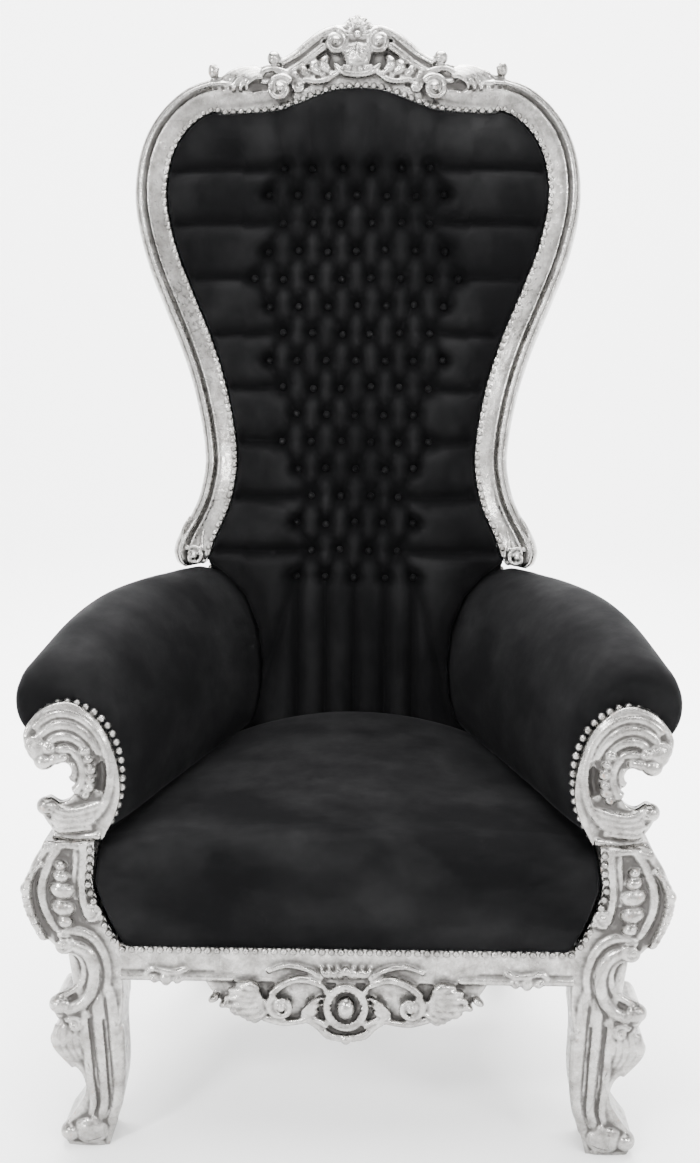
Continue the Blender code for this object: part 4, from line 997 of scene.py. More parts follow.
def crestRail():
    def forward(out):
        # the shoulders' ornament stands in front of the frame's moulding
        return back["crestForward"] * min(max((out - 0.4) / 0.12, 0), 1)

    at, spot, line = carvedFace(0.0, back["height"], back["crestHalf"], back["crestHigh"],
                                back["frameFront"] + back["crestFace"], forward)
    upper = smoothLine([at(-0.12, 0.6), at(0.0, 0.72), at(0.13, 0.67), at(0.26, 0.62), at(0.34, 0.51),
                        at(0.42, 0.4), at(0.5, 0.315), at(0.58, 0.32), at(0.7, 0.27), at(0.84, 0.23),
                        at(0.95, 0.17), at(1.06, 0.11)], 5)
    lower = [(point.x, point.y) for point in crestLowerEdge()]
    work = Carving()
    work.slab([(point.x, point.y) for point in upper] + [at(1.06, -0.19)] + lower[::-1] + [at(-0.12, 0.08)],
              back["frameFront"] + back["crestGround"], back["frameRear"] + back["crestRear"])

    # the frame's own flat runs on below the carving, and its ridges fade out under the leaf fans
    lowLine = [Vector((point.x, 0, point.y)) for point in crestLowerEdge(10)]
    half = back["frameWide"] / 2
    run = smoothLine([stilePath(1)[-3], stilePath(1)[-2], (0.252, 0, 0.8432)] +
                     [(point.x, 0, point.z + half) for point in lowLine[::-1][12:38:6]], 5)
    work.addShell(sweptShell(frameProfile(), run,
                             [1 - 0.55 * max(0, k / len(run) - 0.25) for k in range(len(run))]))
    for inset, face, thick in ((0.005, 0.015, 0.006), (0.0115, 0.018, 0.0085)):
        path = [(point.x, thick - face, point.z + inset) for point in lowLine[:36:4]]
        work.rib(path, thick, thick, steps=2)

    # shell of fluted lobes over a small ball
    base = Vector(spot(0.0, 0.6))
    work.lobe(spot(0, 0.69, 0.001), (0.024, 0.008, 0.02))
    for k in range(5):
        turn = math.radians(90 - 22 * k)
        way = Vector((math.cos(turn), 0, math.sin(turn)))
        reach = 0.0285 - 0.0022 * k
        path = [base, base + way * reach * 0.55 + Vector((0, -0.006, 0)), base + way * reach]
        work.rib(path, 0.0046, 0.0064, swell=0.001)
        work.lobe(path[-1], (0.0066, 0.009, 0.0094), math.pi / 2 - turn)
        work.groove([path[0] + Vector((0, -0.007, 0)), path[1] + Vector((0, -0.007, 0)),
                     path[2] + way * 0.006 + Vector((0, -0.008, 0))], 0.0011, 0.003)
    work.bead(spot(0, 0.585, 0.012), 0.0075)
    work.rib(line((-0.03, 0.545, 0.006), (0.04, 0.555, 0.007), (0.085, 0.615, 0.005)), 0.005, 0.004)

    # heart-shaped shield with a rib down its middle and fine lines across it, over a crescent
    work.lobe(spot(0, 0.39, 0.002), (0.0262, 0.015, 0.0265))
    work.lobe(spot(0.06, 0.455, 0.001), (0.0135, 0.0125, 0.014), -0.3)
    work.rib(line((0, 0.51, 0.0125), (0, 0.4, 0.016), (0, 0.29, 0.0125)), 0.0026, 0.0022)
    for k in range(7):
        work.groove(line((0.016, 0.5 - 0.035 * k, 0.0165), (0.075, 0.47 - 0.034 * k, 0.013)), 0.0009,
                    0.0018)
    for out in (-0.02, 0.02, 0.057, 0.088):
        work.bead(spot(out, 0.232 + 0.35 * out, 0.008), 0.0042)
    work.rib(line((-0.05, 0.183, 0.003), (0.06, 0.192, 0.004), (0.115, 0.235, 0.004), (0.15, 0.3, 0.002)),
             0.0072, 0.0052)

    # big volutes beside the shield, each under an arch that falls away outwards
    work.volute(spot(0.143, 0.525, 0.006), 0.0205, 1.4, math.radians(100), 0.007, 1)
    work.rib(line((0.085, 0.66), (0.155, 0.655, 0.001), (0.24, 0.6, 0.001), (0.325, 0.5, 0.001),
                  (0.405, 0.392, 0.001), (0.505, 0.285)), 0.01, 0.0085)
    work.rib(line((0.215, 0.5), (0.29, 0.405, 0.001), (0.375, 0.3, 0.001), (0.47, 0.205)), 0.0088, 0.007)
    work.groove(line((0.225, 0.56, 0.008), (0.305, 0.46, 0.008), (0.39, 0.35, 0.008),
                     (0.485, 0.255, 0.006)), 0.0015, 0.0034)
    work.lobe(spot(0.548, 0.345, 0.001), (0.0125, 0.013, 0.013))
    work.volute(spot(0.548, 0.35, 0.007), 0.0095, 1.1, math.radians(-90), 0.0036, 1)

    # comma leaves and beads under the arch, over a low scroll
    for start, middle, end, thick in (((0.18, 0.205), (0.222, 0.3), (0.19, 0.4), 0.0092),
                                      ((0.24, 0.19), (0.29, 0.265), (0.272, 0.345), 0.0086),
                                      ((0.305, 0.165), (0.356, 0.225), (0.35, 0.285), 0.0078),
                                      ((0.375, 0.14), (0.415, 0.18), (0.425, 0.225), 0.0066)):
        path = [spot(*start, -0.001), spot(*middle, 0.003), spot(*end)]
        work.rib(path, thick * 0.7, thick * 0.45, swell=thick * 0.45)
        work.bead(spot(start[0] - 0.012, start[1] - 0.01, 0.003), thick * 0.62)
        work.groove([(x + 0.0015, y - 0.01, z) for x, y, z in path], 0.001, 0.0032)
        work.groove([(x - 0.0035, y - 0.008, z) for x, y, z in path], 0.0009, 0.0022)
    work.rib(line((0.14, 0.205, 0.002), (0.205, 0.13, 0.003), (0.275, 0.11, 0.004), (0.345, 0.13, 0.003),
                  (0.405, 0.115, 0.003)), 0.0056, 0.0052)
    work.volute(spot(0.385, 0.062, 0.004), 0.0118, 1.2, math.radians(80), 0.0046, -1)

    # shoulder volute, and nested waves of gadroons beyond it
    work.volute(spot(0.508, 0.018, 0.006), 0.0225, 1.5, math.radians(150), 0.0066, -1)
    work.rib(line((0.42, 0.13, 0.001), (0.485, 0.205, 0.003), (0.57, 0.225, 0.004), (0.64, 0.175, 0.004),
                  (0.655, 0.1, 0.001)), 0.0065, 0.0048)
    for k in range(5):
        path = []
        for step in range(7):
            turn = math.radians(mix(112 - 6 * k, -12 + 3 * k, step / 6))
            path.append(spot(0.648 + (0.075 + 0.047 * k) * math.cos(turn),
                             0.02 + (0.12 + 0.03 * k) * math.sin(turn), 0.006 - 0.0022 * k))
        work.rib(path, 0.004, 0.0034, swell=0.0026)
        work.groove([(x + 0.001, y - 0.01, z) for x, y, z in path], 0.0009, 0.0022)
    work.groove(line((0.615, 0.03, 0.004), (0.66, 0.04, 0.004), (0.69, 0.02, 0.004)), 0.0062, 0.0095)
    work.lobe(spot(0.951, 0.225, -0.004), (0.01, 0.011, 0.0135))
    work.volute(spot(0.951, 0.25, 0.002), 0.0085, 1.0, math.radians(180), 0.0036, 1)
    data = carve(work, "crest_rail_look")
    place, along = crestJoint()
    trimmed(data, [(place, -along), ((0, back["frameRear"], 0), (0, 1, 0))])
    wholeFromHalf(data, "crest_rail_look")
    data.transform(backPlace)
    markCavities(data)
    piece = addPiece("crest_rail_look", data, silverFinish)
    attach(piece, "root")
    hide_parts("crest_rail")


# Arms

arms = {
    "rollFront": (0.43, 0.708), "rollRear": (0.283, 0.773),
    "radiusFront": 0.07, "radiusRear": 0.05,
    "bulgeFront": (0.338, 0.61), "bulgeRear": (0.168, 0.65),
    "creaseFront": (0.376, 0.5), "creaseRear": (0.209, 0.53),
    "panelFront": 0.392, "panelRear": 0.3,
    "bowOut": 0.024, "bowUp": 0.026,
    "wrap": 0.04,
    "round": 0.024,
    "stations": 80,
    "around": 150,
    "slack": 0.0016,
    "gather": 0.0016,
    "stillFoot": 0.01,
    "frontRows": (0.16, 0.075),
    "frontRound": 0.07,
}


def between(front, rear, share):
    return mix(front[0], rear[0], share), mix(front[1], rear[1], share)


def backPlaneY(z, depth):
    return body["backY"] + (z - body["backZ"]) * math.tan(body["lean"]) + depth / math.cos(body["lean"])


def armSection(share):
    # outline of the arm, from its outer panel's foot over the roll to the seat
    centreX, centreZ = between(arms["rollFront"], arms["rollRear"], share)
    bow = math.sin(math.pi * share)
    centreX += arms["bowOut"] * bow
    centreZ += arms["bowUp"] * bow
    radius = mix(arms["radiusFront"], arms["radiusRear"], share)
    bulgeX, bulgeZ = between(arms["bulgeFront"], arms["bulgeRear"], share)
    creaseX, creaseZ = between(arms["creaseFront"], arms["creaseRear"], share)
    panelX = mix(arms["panelFront"], arms["panelRear"], share) + arms["bowOut"] * bow / 2
    floorZ = body["cushionZ"]
    under = -math.acos(min(max((panelX - centreX) / radius, -1), 1))
    points = [(panelX, floorZ), (panelX, mix(floorZ, centreZ - radius, 0.6))]
    for k in range(9):
        angle = mix(under, math.radians(100), k / 8)
        points.append((centreX + radius * math.cos(angle), centreZ + radius * math.sin(angle)))
    startX, startZ = points[-1]
    for k in range(1, 5):
        angle = math.radians(90 - 22.5 * k)
        points.append((startX - (startX - bulgeX) * math.cos(angle),
                       bulgeZ + (startZ - bulgeZ) * math.sin(angle)))
    for k in range(1, 4):
        angle = math.radians(30 * k)
        points.append((bulgeX + (creaseX - bulgeX) * (1 - math.cos(angle)),
                       bulgeZ - (bulgeZ - creaseZ) * math.sin(angle)))
    points.append((creaseX, floorZ))
    return points


def arm():
    frontY = body["legBackY"] + body["touch"]
    rows = {}
    around = arms["around"]

    def alongAt(v):
        # rows lie closer together where the front is rounded over
        rowShare, reach = arms["frontRows"]
        return v / rowShare * reach if v < rowShare else mix(reach, 1, (v - rowShare) / (1 - rowShare))

    def ringAt(share):
        if share not in rows:
            outline = [(x, z, 0) for x, z in armSection(share)]
            first, last = Vector(outline[0]), Vector(outline[-1])
            loop = [first] + smoothLine(outline[1:-1], 4) + [last, first]
            length = sum((b - a).length for a, b in zip(loop, loop[1:]))
            rows[share] = evenly(loop, length / around)
        return rows[share]

    def placeAt(u, v):
        along = alongAt(v)
        spot = ringAt(round(along, 5))[round(u * around) % around]
        x, z = spot.x, spot.y
        y = mix(frontY, backPlaneY(z, 0.004) - 0.0003, along)
        turned = max(0, 1 - along / arms["frontRound"])
        if z > legHigh.z and turned:
            centreX, centreZ = arms["rollFront"]
            pull = arms["round"] * (1 - math.sqrt(max(1 - turned ** 2, 0))) * min((z - legHigh.z) / 0.06, 1)
            reach = math.hypot(x - centreX, z - centreZ)
            x -= (x - centreX) / reach * pull
            z -= (z - centreZ) / reach * pull
        if z > legHigh.z:
            y -= arms["wrap"] * (1 - along) ** 3 * min((z - legHigh.z) / 0.02, 1)
        return Vector((x, y, z))

    mesh = gridShell(around, arms["stations"], placeAt, True, True)
    data = meshFrom(mesh, "arm_look")
    places, normals = meshArrays(data)
    share = (places[:, 1] - frontY) / 0.4
    loose = wander(places, 0.055, 5) * arms["slack"] + wander(places, 0.02, 6) * arms["slack"] * 0.25
    # gathers where the cloth turns in at the back of the arm, and a few behind the scroll
    turn = np.arctan2(places[:, 2] - 0.7, places[:, 0] - 0.36)
    gather = np.exp(-((1 - np.clip(share, 0, 1.2)) / 0.1) ** 2)
    gather += 0.5 * np.exp(-(np.clip(share + 0.05, 0, 2) / 0.07) ** 2)
    loose -= arms["gather"] * gather * np.maximum(0, np.sin(turn * 26)) ** 2
    edge = np.clip(np.minimum(share + 0.075, 1.02 - share) / 0.05, 0, 1)
    edge *= places[:, 2] > body["railTop"] + arms["stillFoot"]
    setPlaces(data, places + normals * (loose * edge)[:, None])
    made = pair("arm", data, velvetFlat, sharp=60)


# Seat

seat = {
    "frontY": body["legBackY"] - 0.076,
    "roll": 0.062,
    "sideDrop": 0.004,
    "crownFront": 0.014,
    "crownRear": 0.046,
    "belly": 0.007,
    "puff": 0.006,
    "wallSteps": 24,
    "topSteps": 150,
    "along": 120,
    "frontShare": 0.22,
    "legShare": 0.34,
}


def seatPiece():
    floorZ = body["cushionZ"]
    split = body["legBackY"]
    frontShare, legShare = seat["frontShare"], seat["legShare"]

    def frontProfile(part):
        # from the rail up the bulging front and over it: how far back, and how high as a share of the top
        angle = part * math.pi / 2
        bulge = seat["belly"] * (1 - math.sin(min(part / 0.45, 1) * math.pi / 2))
        return seat["roll"] * (1 - math.cos(angle)) ** 1.4 + bulge, math.sin(angle) ** 0.92

    wallSteps, topSteps = seat["wallSteps"], seat["topSteps"]
    around = 2 * wallSteps + 2 * topSteps

    def placeAt(u, v):
        along = 0.0
        up = 1.0
        y = None
        if v < frontShare:
            inward, up = frontProfile(v / frontShare)
            y = seat["frontY"] + inward
        elif v < legShare:
            y = mix(seat["frontY"] + seat["roll"], split, (v - frontShare) / (legShare - frontShare))
        else:
            along = (v - legShare) / (1 - legShare)
        edgeZ = mix(arms["creaseFront"][1], arms["creaseRear"][1], along) - seat["sideDrop"]
        crown = mix(seat["crownFront"], seat["crownRear"], along)
        # once round: up one side, over the crown, down the other side and back below
        step = round(u * around) % around
        if step < wallSteps:
            across = -1
            z = mix(floorZ, edgeZ, step / wallSteps)
        elif step <= wallSteps + topSteps:
            across = (step - wallSteps) / topSteps * 2 - 1
            z = edgeZ + crown * (1 - across ** 2)
        elif step <= 2 * wallSteps + topSteps:
            across = 1
            z = mix(edgeZ, floorZ, (step - wallSteps - topSteps) / wallSteps)
        else:
            across = 1 - (step - 2 * wallSteps - topSteps) / topSteps * 2
            z = floorZ
        z = floorZ + (z - floorZ) * up
        yRear = backPlaneY(z, -0.034) - 0.0006
        if y is None:
            y = mix(split, yRear, along)
            reach = (y - split) / (backPlaneY(z, 0.004) - split)
            half = mix(arms["creaseFront"][0], arms["creaseRear"][0], reach) - 0.0008
        else:
            half = legInnerEdge(min(z, legHigh.z)) - 0.002
            half -= 0.01 * (1 - min((y - seat["frontY"]) / 0.03, 1)) ** 2
        return Vector((half * across, y, z))

    mesh = gridShell(around, seat["along"], placeAt, True, True)
    data = meshFrom(mesh, "seat_look")
    places, normals = meshArrays(data)
    high = np.clip((places[:, 2] - floorZ - 0.02) / 0.06, 0, 1)
    away = np.clip((0.36 - np.abs(places[:, 0])) / 0.06, 0, 1)
    puff = seat["puff"] * high * away * (0.35 + 0.65 * np.clip((places[:, 1] - seat["frontY"]) / 0.1, 0, 1))
    puff += wander(places, 0.05, 11) * 0.0016 * high + wander(places, 0.018, 12) * 0.0004
    for first, second, depth in seatFolds():
        gap, _ = toLine(places, np.array(first), np.array(second))
        puff -= depth * np.exp(-(gap / 0.009) ** 1.5)
    setPlaces(data, places + normals * puff[:, None])
    places, _ = meshArrays(data)
    setPlaces(data, eased(places, edgePairs(data), 2))
    data.set_sharp_from_angle(angle=math.radians(70))
    piece = addPiece("seat_look", data, velvetFlat)
    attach(piece, "root")
    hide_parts("seat")


def seatFolds():
    # short strain lines: from the front corners, and where people have sat
    front = seatLow.y
    found = []
    for side in (-1, 1):
        found.append(((side * 0.35, front + 0.02, 0.475), (side * 0.235, front + 0.012, 0.44), 0.0024))
        found.append(((side * 0.352, front + 0.016, 0.42), (side * 0.255, front + 0.006, 0.405), 0.0016))
        found.append(((side * 0.3, front + 0.18, 0.515), (side * 0.19, front + 0.13, 0.527), 0.0018))
    found.append(((-0.12, front + 0.005, 0.452), (0.06, front + 0.003, 0.436), 0.001))
    found.append(((0.09, front + 0.06, 0.515), (0.2, front + 0.04, 0.505), 0.0012))
    return found


# Inside back: buttoned in diamonds, with pleats to the frame and down to the seat

tuft = {
    "cell": 0.0034,
    "pitch": 0.0522,
    "rise": 0.0486,
    "lowestRow": -0.0138,
    "rows": 16,
    "reach": [(-0.02, 0.112), (0.12, 0.114), (0.3, 0.152), (0.52, 0.178), (0.74, 0.17)],
    "foldDepth": 0.023,
    "foldWide": 0.009,
    "sharp": 1.12,
    "sag": 0.0075,
    "stray": 0.0022,
    "dimple": 0.01,
    "button": 0.0062,
    "edgeDepth": -0.0195,
    "faceDepth": -0.0345,
    "rearDepth": 0.0037,
    "rimRound": 0.055,
    "dimpleWide": 0.0115,
    "diamondFold": 0.85,
    "pleatFold": 0.92,
    "pleatWide": 0.0125,
    "skirtWide": 0.0105,
}


def rowReach(w):
    for (low, first), (high, second) in zip(tuft["reach"], tuft["reach"][1:]):
        if w <= high:
            return mix(first, second, min(max((w - low) / (high - low), 0), 1))
    return tuft["reach"][-1][1]


def buttonRows():
    chance = random.Random(8)
    rows = []
    for j in range(tuft["rows"]):
        w = tuft["lowestRow"] + j * tuft["rise"]
        shift = 0.5 if j % 2 else 0.0
        count = int((rowReach(w) - shift * tuft["pitch"] + 0.006) / tuft["pitch"])
        xs = sorted({side * (k + shift) * tuft["pitch"] for k in range(count + 1) for side in (-1, 1)})
        rows.append([(x + chance.uniform(-1, 1) * tuft["stray"], w + chance.uniform(-1, 1) * tuft["stray"])
                     for x in xs])
    return rows


def padOutline():
    # half outline at +X inside the frame, from the top middle down, then the arms' line to the rail
    half = back["frameWide"] / 2 + 0.001
    points = [(point.x, point.y - 0.004) for point in crestLowerEdge()
              if point.x < back["crestHalf"] * 0.92]
    steps = 4
    path = stilePath(steps)
    sizes = stileSizes(len(path), steps)
    edge = []
    for k in range(1, len(path) - 1):
        along = (path[k + 1] - path[k - 1]).normalized()
        inside = path[k] + Vector((-along.z, 0, along.x)) * half * sizes[k]
        edge.append((inside.x, inside.z))
    joint = points[-1][0] + 0.004
    edge = [point for point in edge
            if point[1] > 0 and (point[1] < back["height"] * 0.8 or point[0] > joint)]
    points += edge[::-1]
    spots = [point for point in armSection(1.0)[10:] if point[1] < body["backZ"] - 0.01]
    points += [(x - 0.0012, (z - body["backZ"]) / math.cos(body["lean"])) for x, z in spots]
    return points


def insideOutline(places, outline):
    inside = np.zeros(len(places), bool)
    x, w = places[:, 0], places[:, 1]
    for (x1, w1), (x2, w2) in zip(outline, outline[1:] + outline[:1]):
        if w1 == w2:
            continue
        crosses = ((w1 > w) != (w2 > w)) & (x < (x2 - x1) * (w - w1) / (w2 - w1) + x1)
        inside ^= crosses
    return inside


def nearestOn(places, outline):
    best = np.full(len(places), 1e9)
    found = places.copy()
    for first, second in zip(outline, outline[1:] + outline[:1]):
        first, second = np.array(first), np.array(second)
        gap, share = toLine(places, first, second)
        better = gap < best
        best[better] = gap[better]
        found[better] = (first + share[:, None] * (second - first))[better]
    return best, found


def panelMesh(half, cell):
    # a fine even grid cut to the outline, its rim drawn onto the outline; x across, y up the back
    outline = list(half) + [(-x, w) for x, w in half[::-1] if x > 0.0001]
    low = min(w for _, w in outline)
    high = max(w for _, w in outline)
    wide = max(x for x, _ in outline)
    mesh = bmesh.new()
    columns, rows = round(2 * wide / cell), round((high - low) / cell)
    size = Matrix.Translation((0, (low + high) / 2, 0)) @ Matrix.Diagonal((2 * wide, high - low, 1, 1))
    bmesh.ops.create_grid(mesh, x_segments=columns, y_segments=rows, size=0.5, matrix=size)
    middles = np.array([tuple(face.calc_center_median())[:2] for face in mesh.faces])
    keep = insideOutline(middles, outline) & (nearestOn(middles, outline)[0] > cell * 0.35)
    drop = [face for face, kept in zip(list(mesh.faces), keep) if not kept]
    bmesh.ops.delete(mesh, geom=drop, context="FACES")
    rim = [vert for vert in mesh.verts if any(edge.is_boundary for edge in vert.link_edges)]
    spots = np.array([tuple(vert.co)[:2] for vert in rim])
    _, moved = nearestOn(spots, outline)
    for vert, spot in zip(rim, moved):
        vert.co = (spot[0], spot[1], 0)
    return mesh, outline


def closeBehind(mesh, depth):
    # walls back to a flat rear face
    rim = [edge for edge in mesh.edges if edge.is_boundary]
    grown = bmesh.ops.extrude_edge_only(mesh, edges=rim)["geom"]
    for vert in grown:
        if isinstance(vert, bmesh.types.BMVert):
            vert.co.z = depth
    rim = [edge for edge in mesh.edges if edge.is_boundary]
    bmesh.ops.holes_fill(mesh, edges=rim, sides=0)


def insideBack():
    mesh, outline = panelMesh(padOutline(), tuft["cell"])
    mesh.verts.ensure_lookup_table()
    flat = np.array([tuple(vert.co)[:2] for vert in mesh.verts])
    rim, _ = nearestOn(flat, outline)
    rise = np.clip(rim / tuft["rimRound"], 0, 1)
    rise = np.sin(rise * math.pi / 2)
    below = np.clip((0.03 - flat[:, 1]) / 0.03, 0, 1)
    depth = mix(tuft["edgeDepth"], tuft["faceDepth"], rise)
    clear = np.ones(len(flat))
    rows = buttonRows()

    def press(first, second, wide, deep, lopsided=0.0):
        # a fold between two points; lopsided lets the cloth above hang over the line
        first, second = np.array(first), np.array(second)
        near = np.where((flat >= np.minimum(first, second) - 0.06).all(1)
                        & (flat <= np.maximum(first, second) + 0.06).all(1))[0]
        gap, _ = toLine(flat[near], first, second)
        run = second - first
        beside = run[0] * (flat[near, 1] - first[1]) - run[1] * (flat[near, 0] - first[0])
        reach = wide * (1 + lopsided * (np.sign(beside) * np.sign(run[0] or 1)))
        clear[near] *= 1 - deep * np.exp(-(gap / reach) ** tuft["sharp"])

    for lower, upper in zip(rows, rows[1:]):
        for x, w in lower:
            for x2, w2 in upper:
                if abs(x - x2) < tuft["pitch"] * 0.75:
                    press((x, w), (x2, w2), tuft["foldWide"], tuft["diamondFold"])
    for number, row in enumerate(rows):
        for x, w in row:
            near = np.where((np.abs(flat - (x, w)) < 0.05).all(1))[0]
            gap = np.linalg.norm(flat[near] - (x, w), axis=1)
            depth[near] += tuft["dimple"] * np.exp(-(gap / tuft["dimpleWide"]) ** 2)
            clear[near] *= 1 - 0.9 * np.exp(-(gap / 0.013) ** 2)
        if number % 2:
            for side in (-1, 1):
                x, w = row[-1 if side > 0 else 0]
                press((x, w), (side * 0.4, w + 0.004 * (number % 3 - 1) - 0.004), tuft["pleatWide"],
                      tuft["pleatFold"], 0.35)
    for x, w in rows[0]:
        press((x, w), (x * 0.98, -0.46), tuft["skirtWide"], tuft["pleatFold"])
    for x, w in rows[-1]:
        press((x, w), (x * 1.12, w + 0.1), 0.01, 0.3)
    for side in (-1, 1):
        x, w = rows[0][-1 if side > 0 else 0]
        press((x, w), (side * 0.19, -0.3), 0.011, 0.55)
        press((side * 0.13, 0.118), (side * 0.205, 0.14), 0.008, 0.4)
    places = np.stack([flat[:, 0], flat[:, 1], depth], 1)
    puffed = np.where(flat[:, 1] > -0.02, 0.0, 0.003)
    depth += (1 - clear) * (tuft["foldDepth"] + puffed) * np.clip(rim / 0.012, 0, 1)
    middle = np.exp(-(flat[:, 0] / 0.2) ** 4) * np.clip((0.8 - flat[:, 1]) / 0.06, 0, 1)
    depth -= 0.0035 * clear * middle * np.clip(rim / 0.03, 0, 1)
    loose = wander(places, 0.045, 21) * 0.0013 + wander(places, 0.017, 22) * 0.0007
    depth += loose * np.clip(rim / 0.03, 0, 1)
    depth += 0.006 * below * (np.abs(flat[:, 0]) > 0.14) * np.clip((np.abs(flat[:, 0]) - 0.14) / 0.06, 0, 1)
    # each puff hangs a little over the fold below it
    inner = np.clip(rim / 0.05, 0, 1) * (np.abs(flat[:, 0]) < 0.2)
    hang = tuft["sag"] * clear * inner * np.clip((flat[:, 1] + 0.03) / 0.03, 0, 1)
    # painted shade: the fold value marks folds and button pits, which the velvet paints darker
    fold = mesh.verts.layers.float.new("fold")
    for vert, value, drop, paintedFoldShade in zip(mesh.verts, depth, hang, 1 - clear):
        vert.co.z = value
        vert.co.y -= drop
        vert[fold] = paintedFoldShade
    closeBehind(mesh, tuft["rearDepth"])
    bmesh.ops.transform(mesh, matrix=panelPlace, verts=mesh.verts)
    data = meshFrom(mesh, "inside_back_look")
    trimmed(data, [((0, 0, body["cushionZ"]), (0, 0, -1))], keepLargest=False)
    places, _ = meshArrays(data)
    setPlaces(data, eased(places, edgePairs(data), 2))
    piece = addPiece("inside_back_look", data, velvetBack)
    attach(piece, "root")
    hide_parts("inside_back")
    return rows


def dome(segments, rings):
    # half a ball, flat below, to be copied many times
    mesh = bmesh.new()
    bmesh.ops.create_uvsphere(mesh, u_segments=segments, v_segments=rings, radius=1)
    geometry = list(mesh.verts) + list(mesh.edges) + list(mesh.faces)
    found = bmesh.ops.bisect_plane(mesh, geom=geometry, dist=0.001, plane_co=(0, 0, 0), plane_no=(0, 0, -1),
                                   clear_outer=True)["geom_cut"]
    rim = [item for item in found if isinstance(item, bmesh.types.BMEdge)]
    bmesh.ops.holes_fill(mesh, edges=rim, sides=0)
    data = bpy.data.meshes.new("dome")
    mesh.to_mesh(data)
    mesh.free()
    return data


def studs(name, seats, radius, height, material, segments=8, rings=4):
    # one head at each seat, given as a place and the way it faces, each a little askew
    lean = (-0.1, 0.1)
    chance = random.Random(len(seats))
    one = dome(segments, rings)
    mesh = bmesh.new()
    for place, facing in seats:
        start = len(mesh.verts)
        mesh.from_mesh(one)
        mesh.verts.ensure_lookup_table()
        turn = Vector(facing).to_track_quat("Z", "Y").to_matrix().to_4x4()
        tiltX = Matrix.Rotation(chance.uniform(*lean), 4, "X")
        tilt = tiltX @ Matrix.Rotation(chance.uniform(*lean), 4, "Y")
        size = chance.uniform(0.94, 1.05) * radius
        matrix = Matrix.Translation(place) @ turn @ tilt @ Matrix.Diagonal((size, size, height, 1))
        bmesh.ops.transform(mesh, matrix=matrix, verts=mesh.verts[start:])
    data = bpy.data.meshes.new(name)
    mesh.to_mesh(data)
    mesh.free()
    data.shade_smooth()
    piece = addPiece(name, data, material)
    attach(piece, "root")
    return piece


def buttons(rows):
    seats = []
    for row in rows:
        for x, w in row:
            depth = tuft["faceDepth"] + tuft["dimple"] + tuft["foldDepth"] * 0.75
            seats.append((backPlace @ Vector((x, depth, w)), backPlace.to_3x3() @ Vector((0, -1, 0))))
    studs("back_buttons", seats, tuft["button"], 0.0052, velvetBack, 10, 6)


# Outside back

outside = {"cell": 0.009, "face": 0.0345, "edge": 0.026, "rearDepth": 0.0043, "rimRound": 0.05}


def outsideBack():
    half = padOutline()
    top = [point for point in half if point[1] > 0]
    spots = armSection(1.0)[:7][::-1]
    lower = [(back["half"] * 0.7, -0.004)]
    lower += [(x, (z - body["backZ"]) / math.cos(body["lean"])) for x, z in spots]
    mesh, outline = panelMesh(top + lower, outside["cell"])
    mesh.verts.ensure_lookup_table()
    flat = np.array([tuple(vert.co)[:2] for vert in mesh.verts])
    rim, _ = nearestOn(flat, outline)
    depth = mix(outside["edge"], outside["face"],
                np.sin(np.clip(rim / outside["rimRound"], 0, 1) * math.pi / 2))
    places = np.stack([flat[:, 0], flat[:, 1], depth], 1)
    depth += wander(places, 0.09, 31) * 0.001 * np.clip(rim / outside["rimRound"], 0, 1)
    for vert, value in zip(mesh.verts, depth):
        vert.co.z = value
    closeBehind(mesh, outside["rearDepth"])
    bmesh.ops.transform(mesh, matrix=panelPlace, verts=mesh.verts)
    data = meshFrom(mesh, "outside_back_look")
    trimmed(data, [((0, 0, body["cushionZ"]), (0, 0, -1))], keepLargest=False)
    data.set_sharp_from_angle(angle=math.radians(60))
    piece = addPiece("outside_back_look", data, velvetBack)
    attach(piece, "root")
    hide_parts("outside_back")
    return outline


# Nail heads

nails = {
    "pitch": 0.0143,
    "radius": 0.0061,
    "height": 0.005,
    "stripInset": 0.0058,
    "legSpan": (0.352, 0.498),
    "legInset": 0.005,
    "legSink": 0.006,
    "railInset": 0.0048,
    "scrollArc": [(0.466, 0.68), (0.455, 0.697), (0.44, 0.71), (0.421, 0.718), (0.401, 0.719),
                  (0.382, 0.712), (0.365, 0.7), (0.349, 0.681), (0.338, 0.657), (0.332, 0.63),
                  (0.331, 0.602), (0.334, 0.576), (0.342, 0.55), (0.355, 0.527), (0.368, 0.511)],
    "aboveRail": 0.02,
    "outsideInset": 0.008,
}


def backNails():
    half = back["frameWide"] / 2
    steps = 6
    path = stilePath(steps)
    sizes = stileSizes(len(path), steps)
    line = []
    for k in range(1, len(path) - 1):
        along = (path[k + 1] - path[k - 1]).normalized()
        spot = path[k] + Vector((-along.z, 0, along.x)) * (half - nails["stripInset"]) * sizes[k]
        line.append(Vector((spot.x, -0.014 * sizes[k], spot.z)))
    crest = [Vector((point.x, -0.017, point.y - 0.001)) for point in crestLowerEdge()]
    joint = back["crestHalf"] * 0.93
    line = [point for point in line if point.z < back["height"] * 0.8 or point.x > joint]
    whole = [point for point in crest if point.x < joint - 0.006] + line[::-1]
    seats = []
    normal = backPlace.to_3x3() @ Vector((-0.1, -1, 0))
    for side in (-1, 1):
        for number, point in enumerate(evenly(whole, nails["pitch"])):
            if side < 0 and number == 0:
                continue
            seats.append((backPlace @ Vector((side * point.x, point.y, point.z)), normal))
    studs("back_frame_nails", seats, nails["radius"], nails["height"], silverFinish)


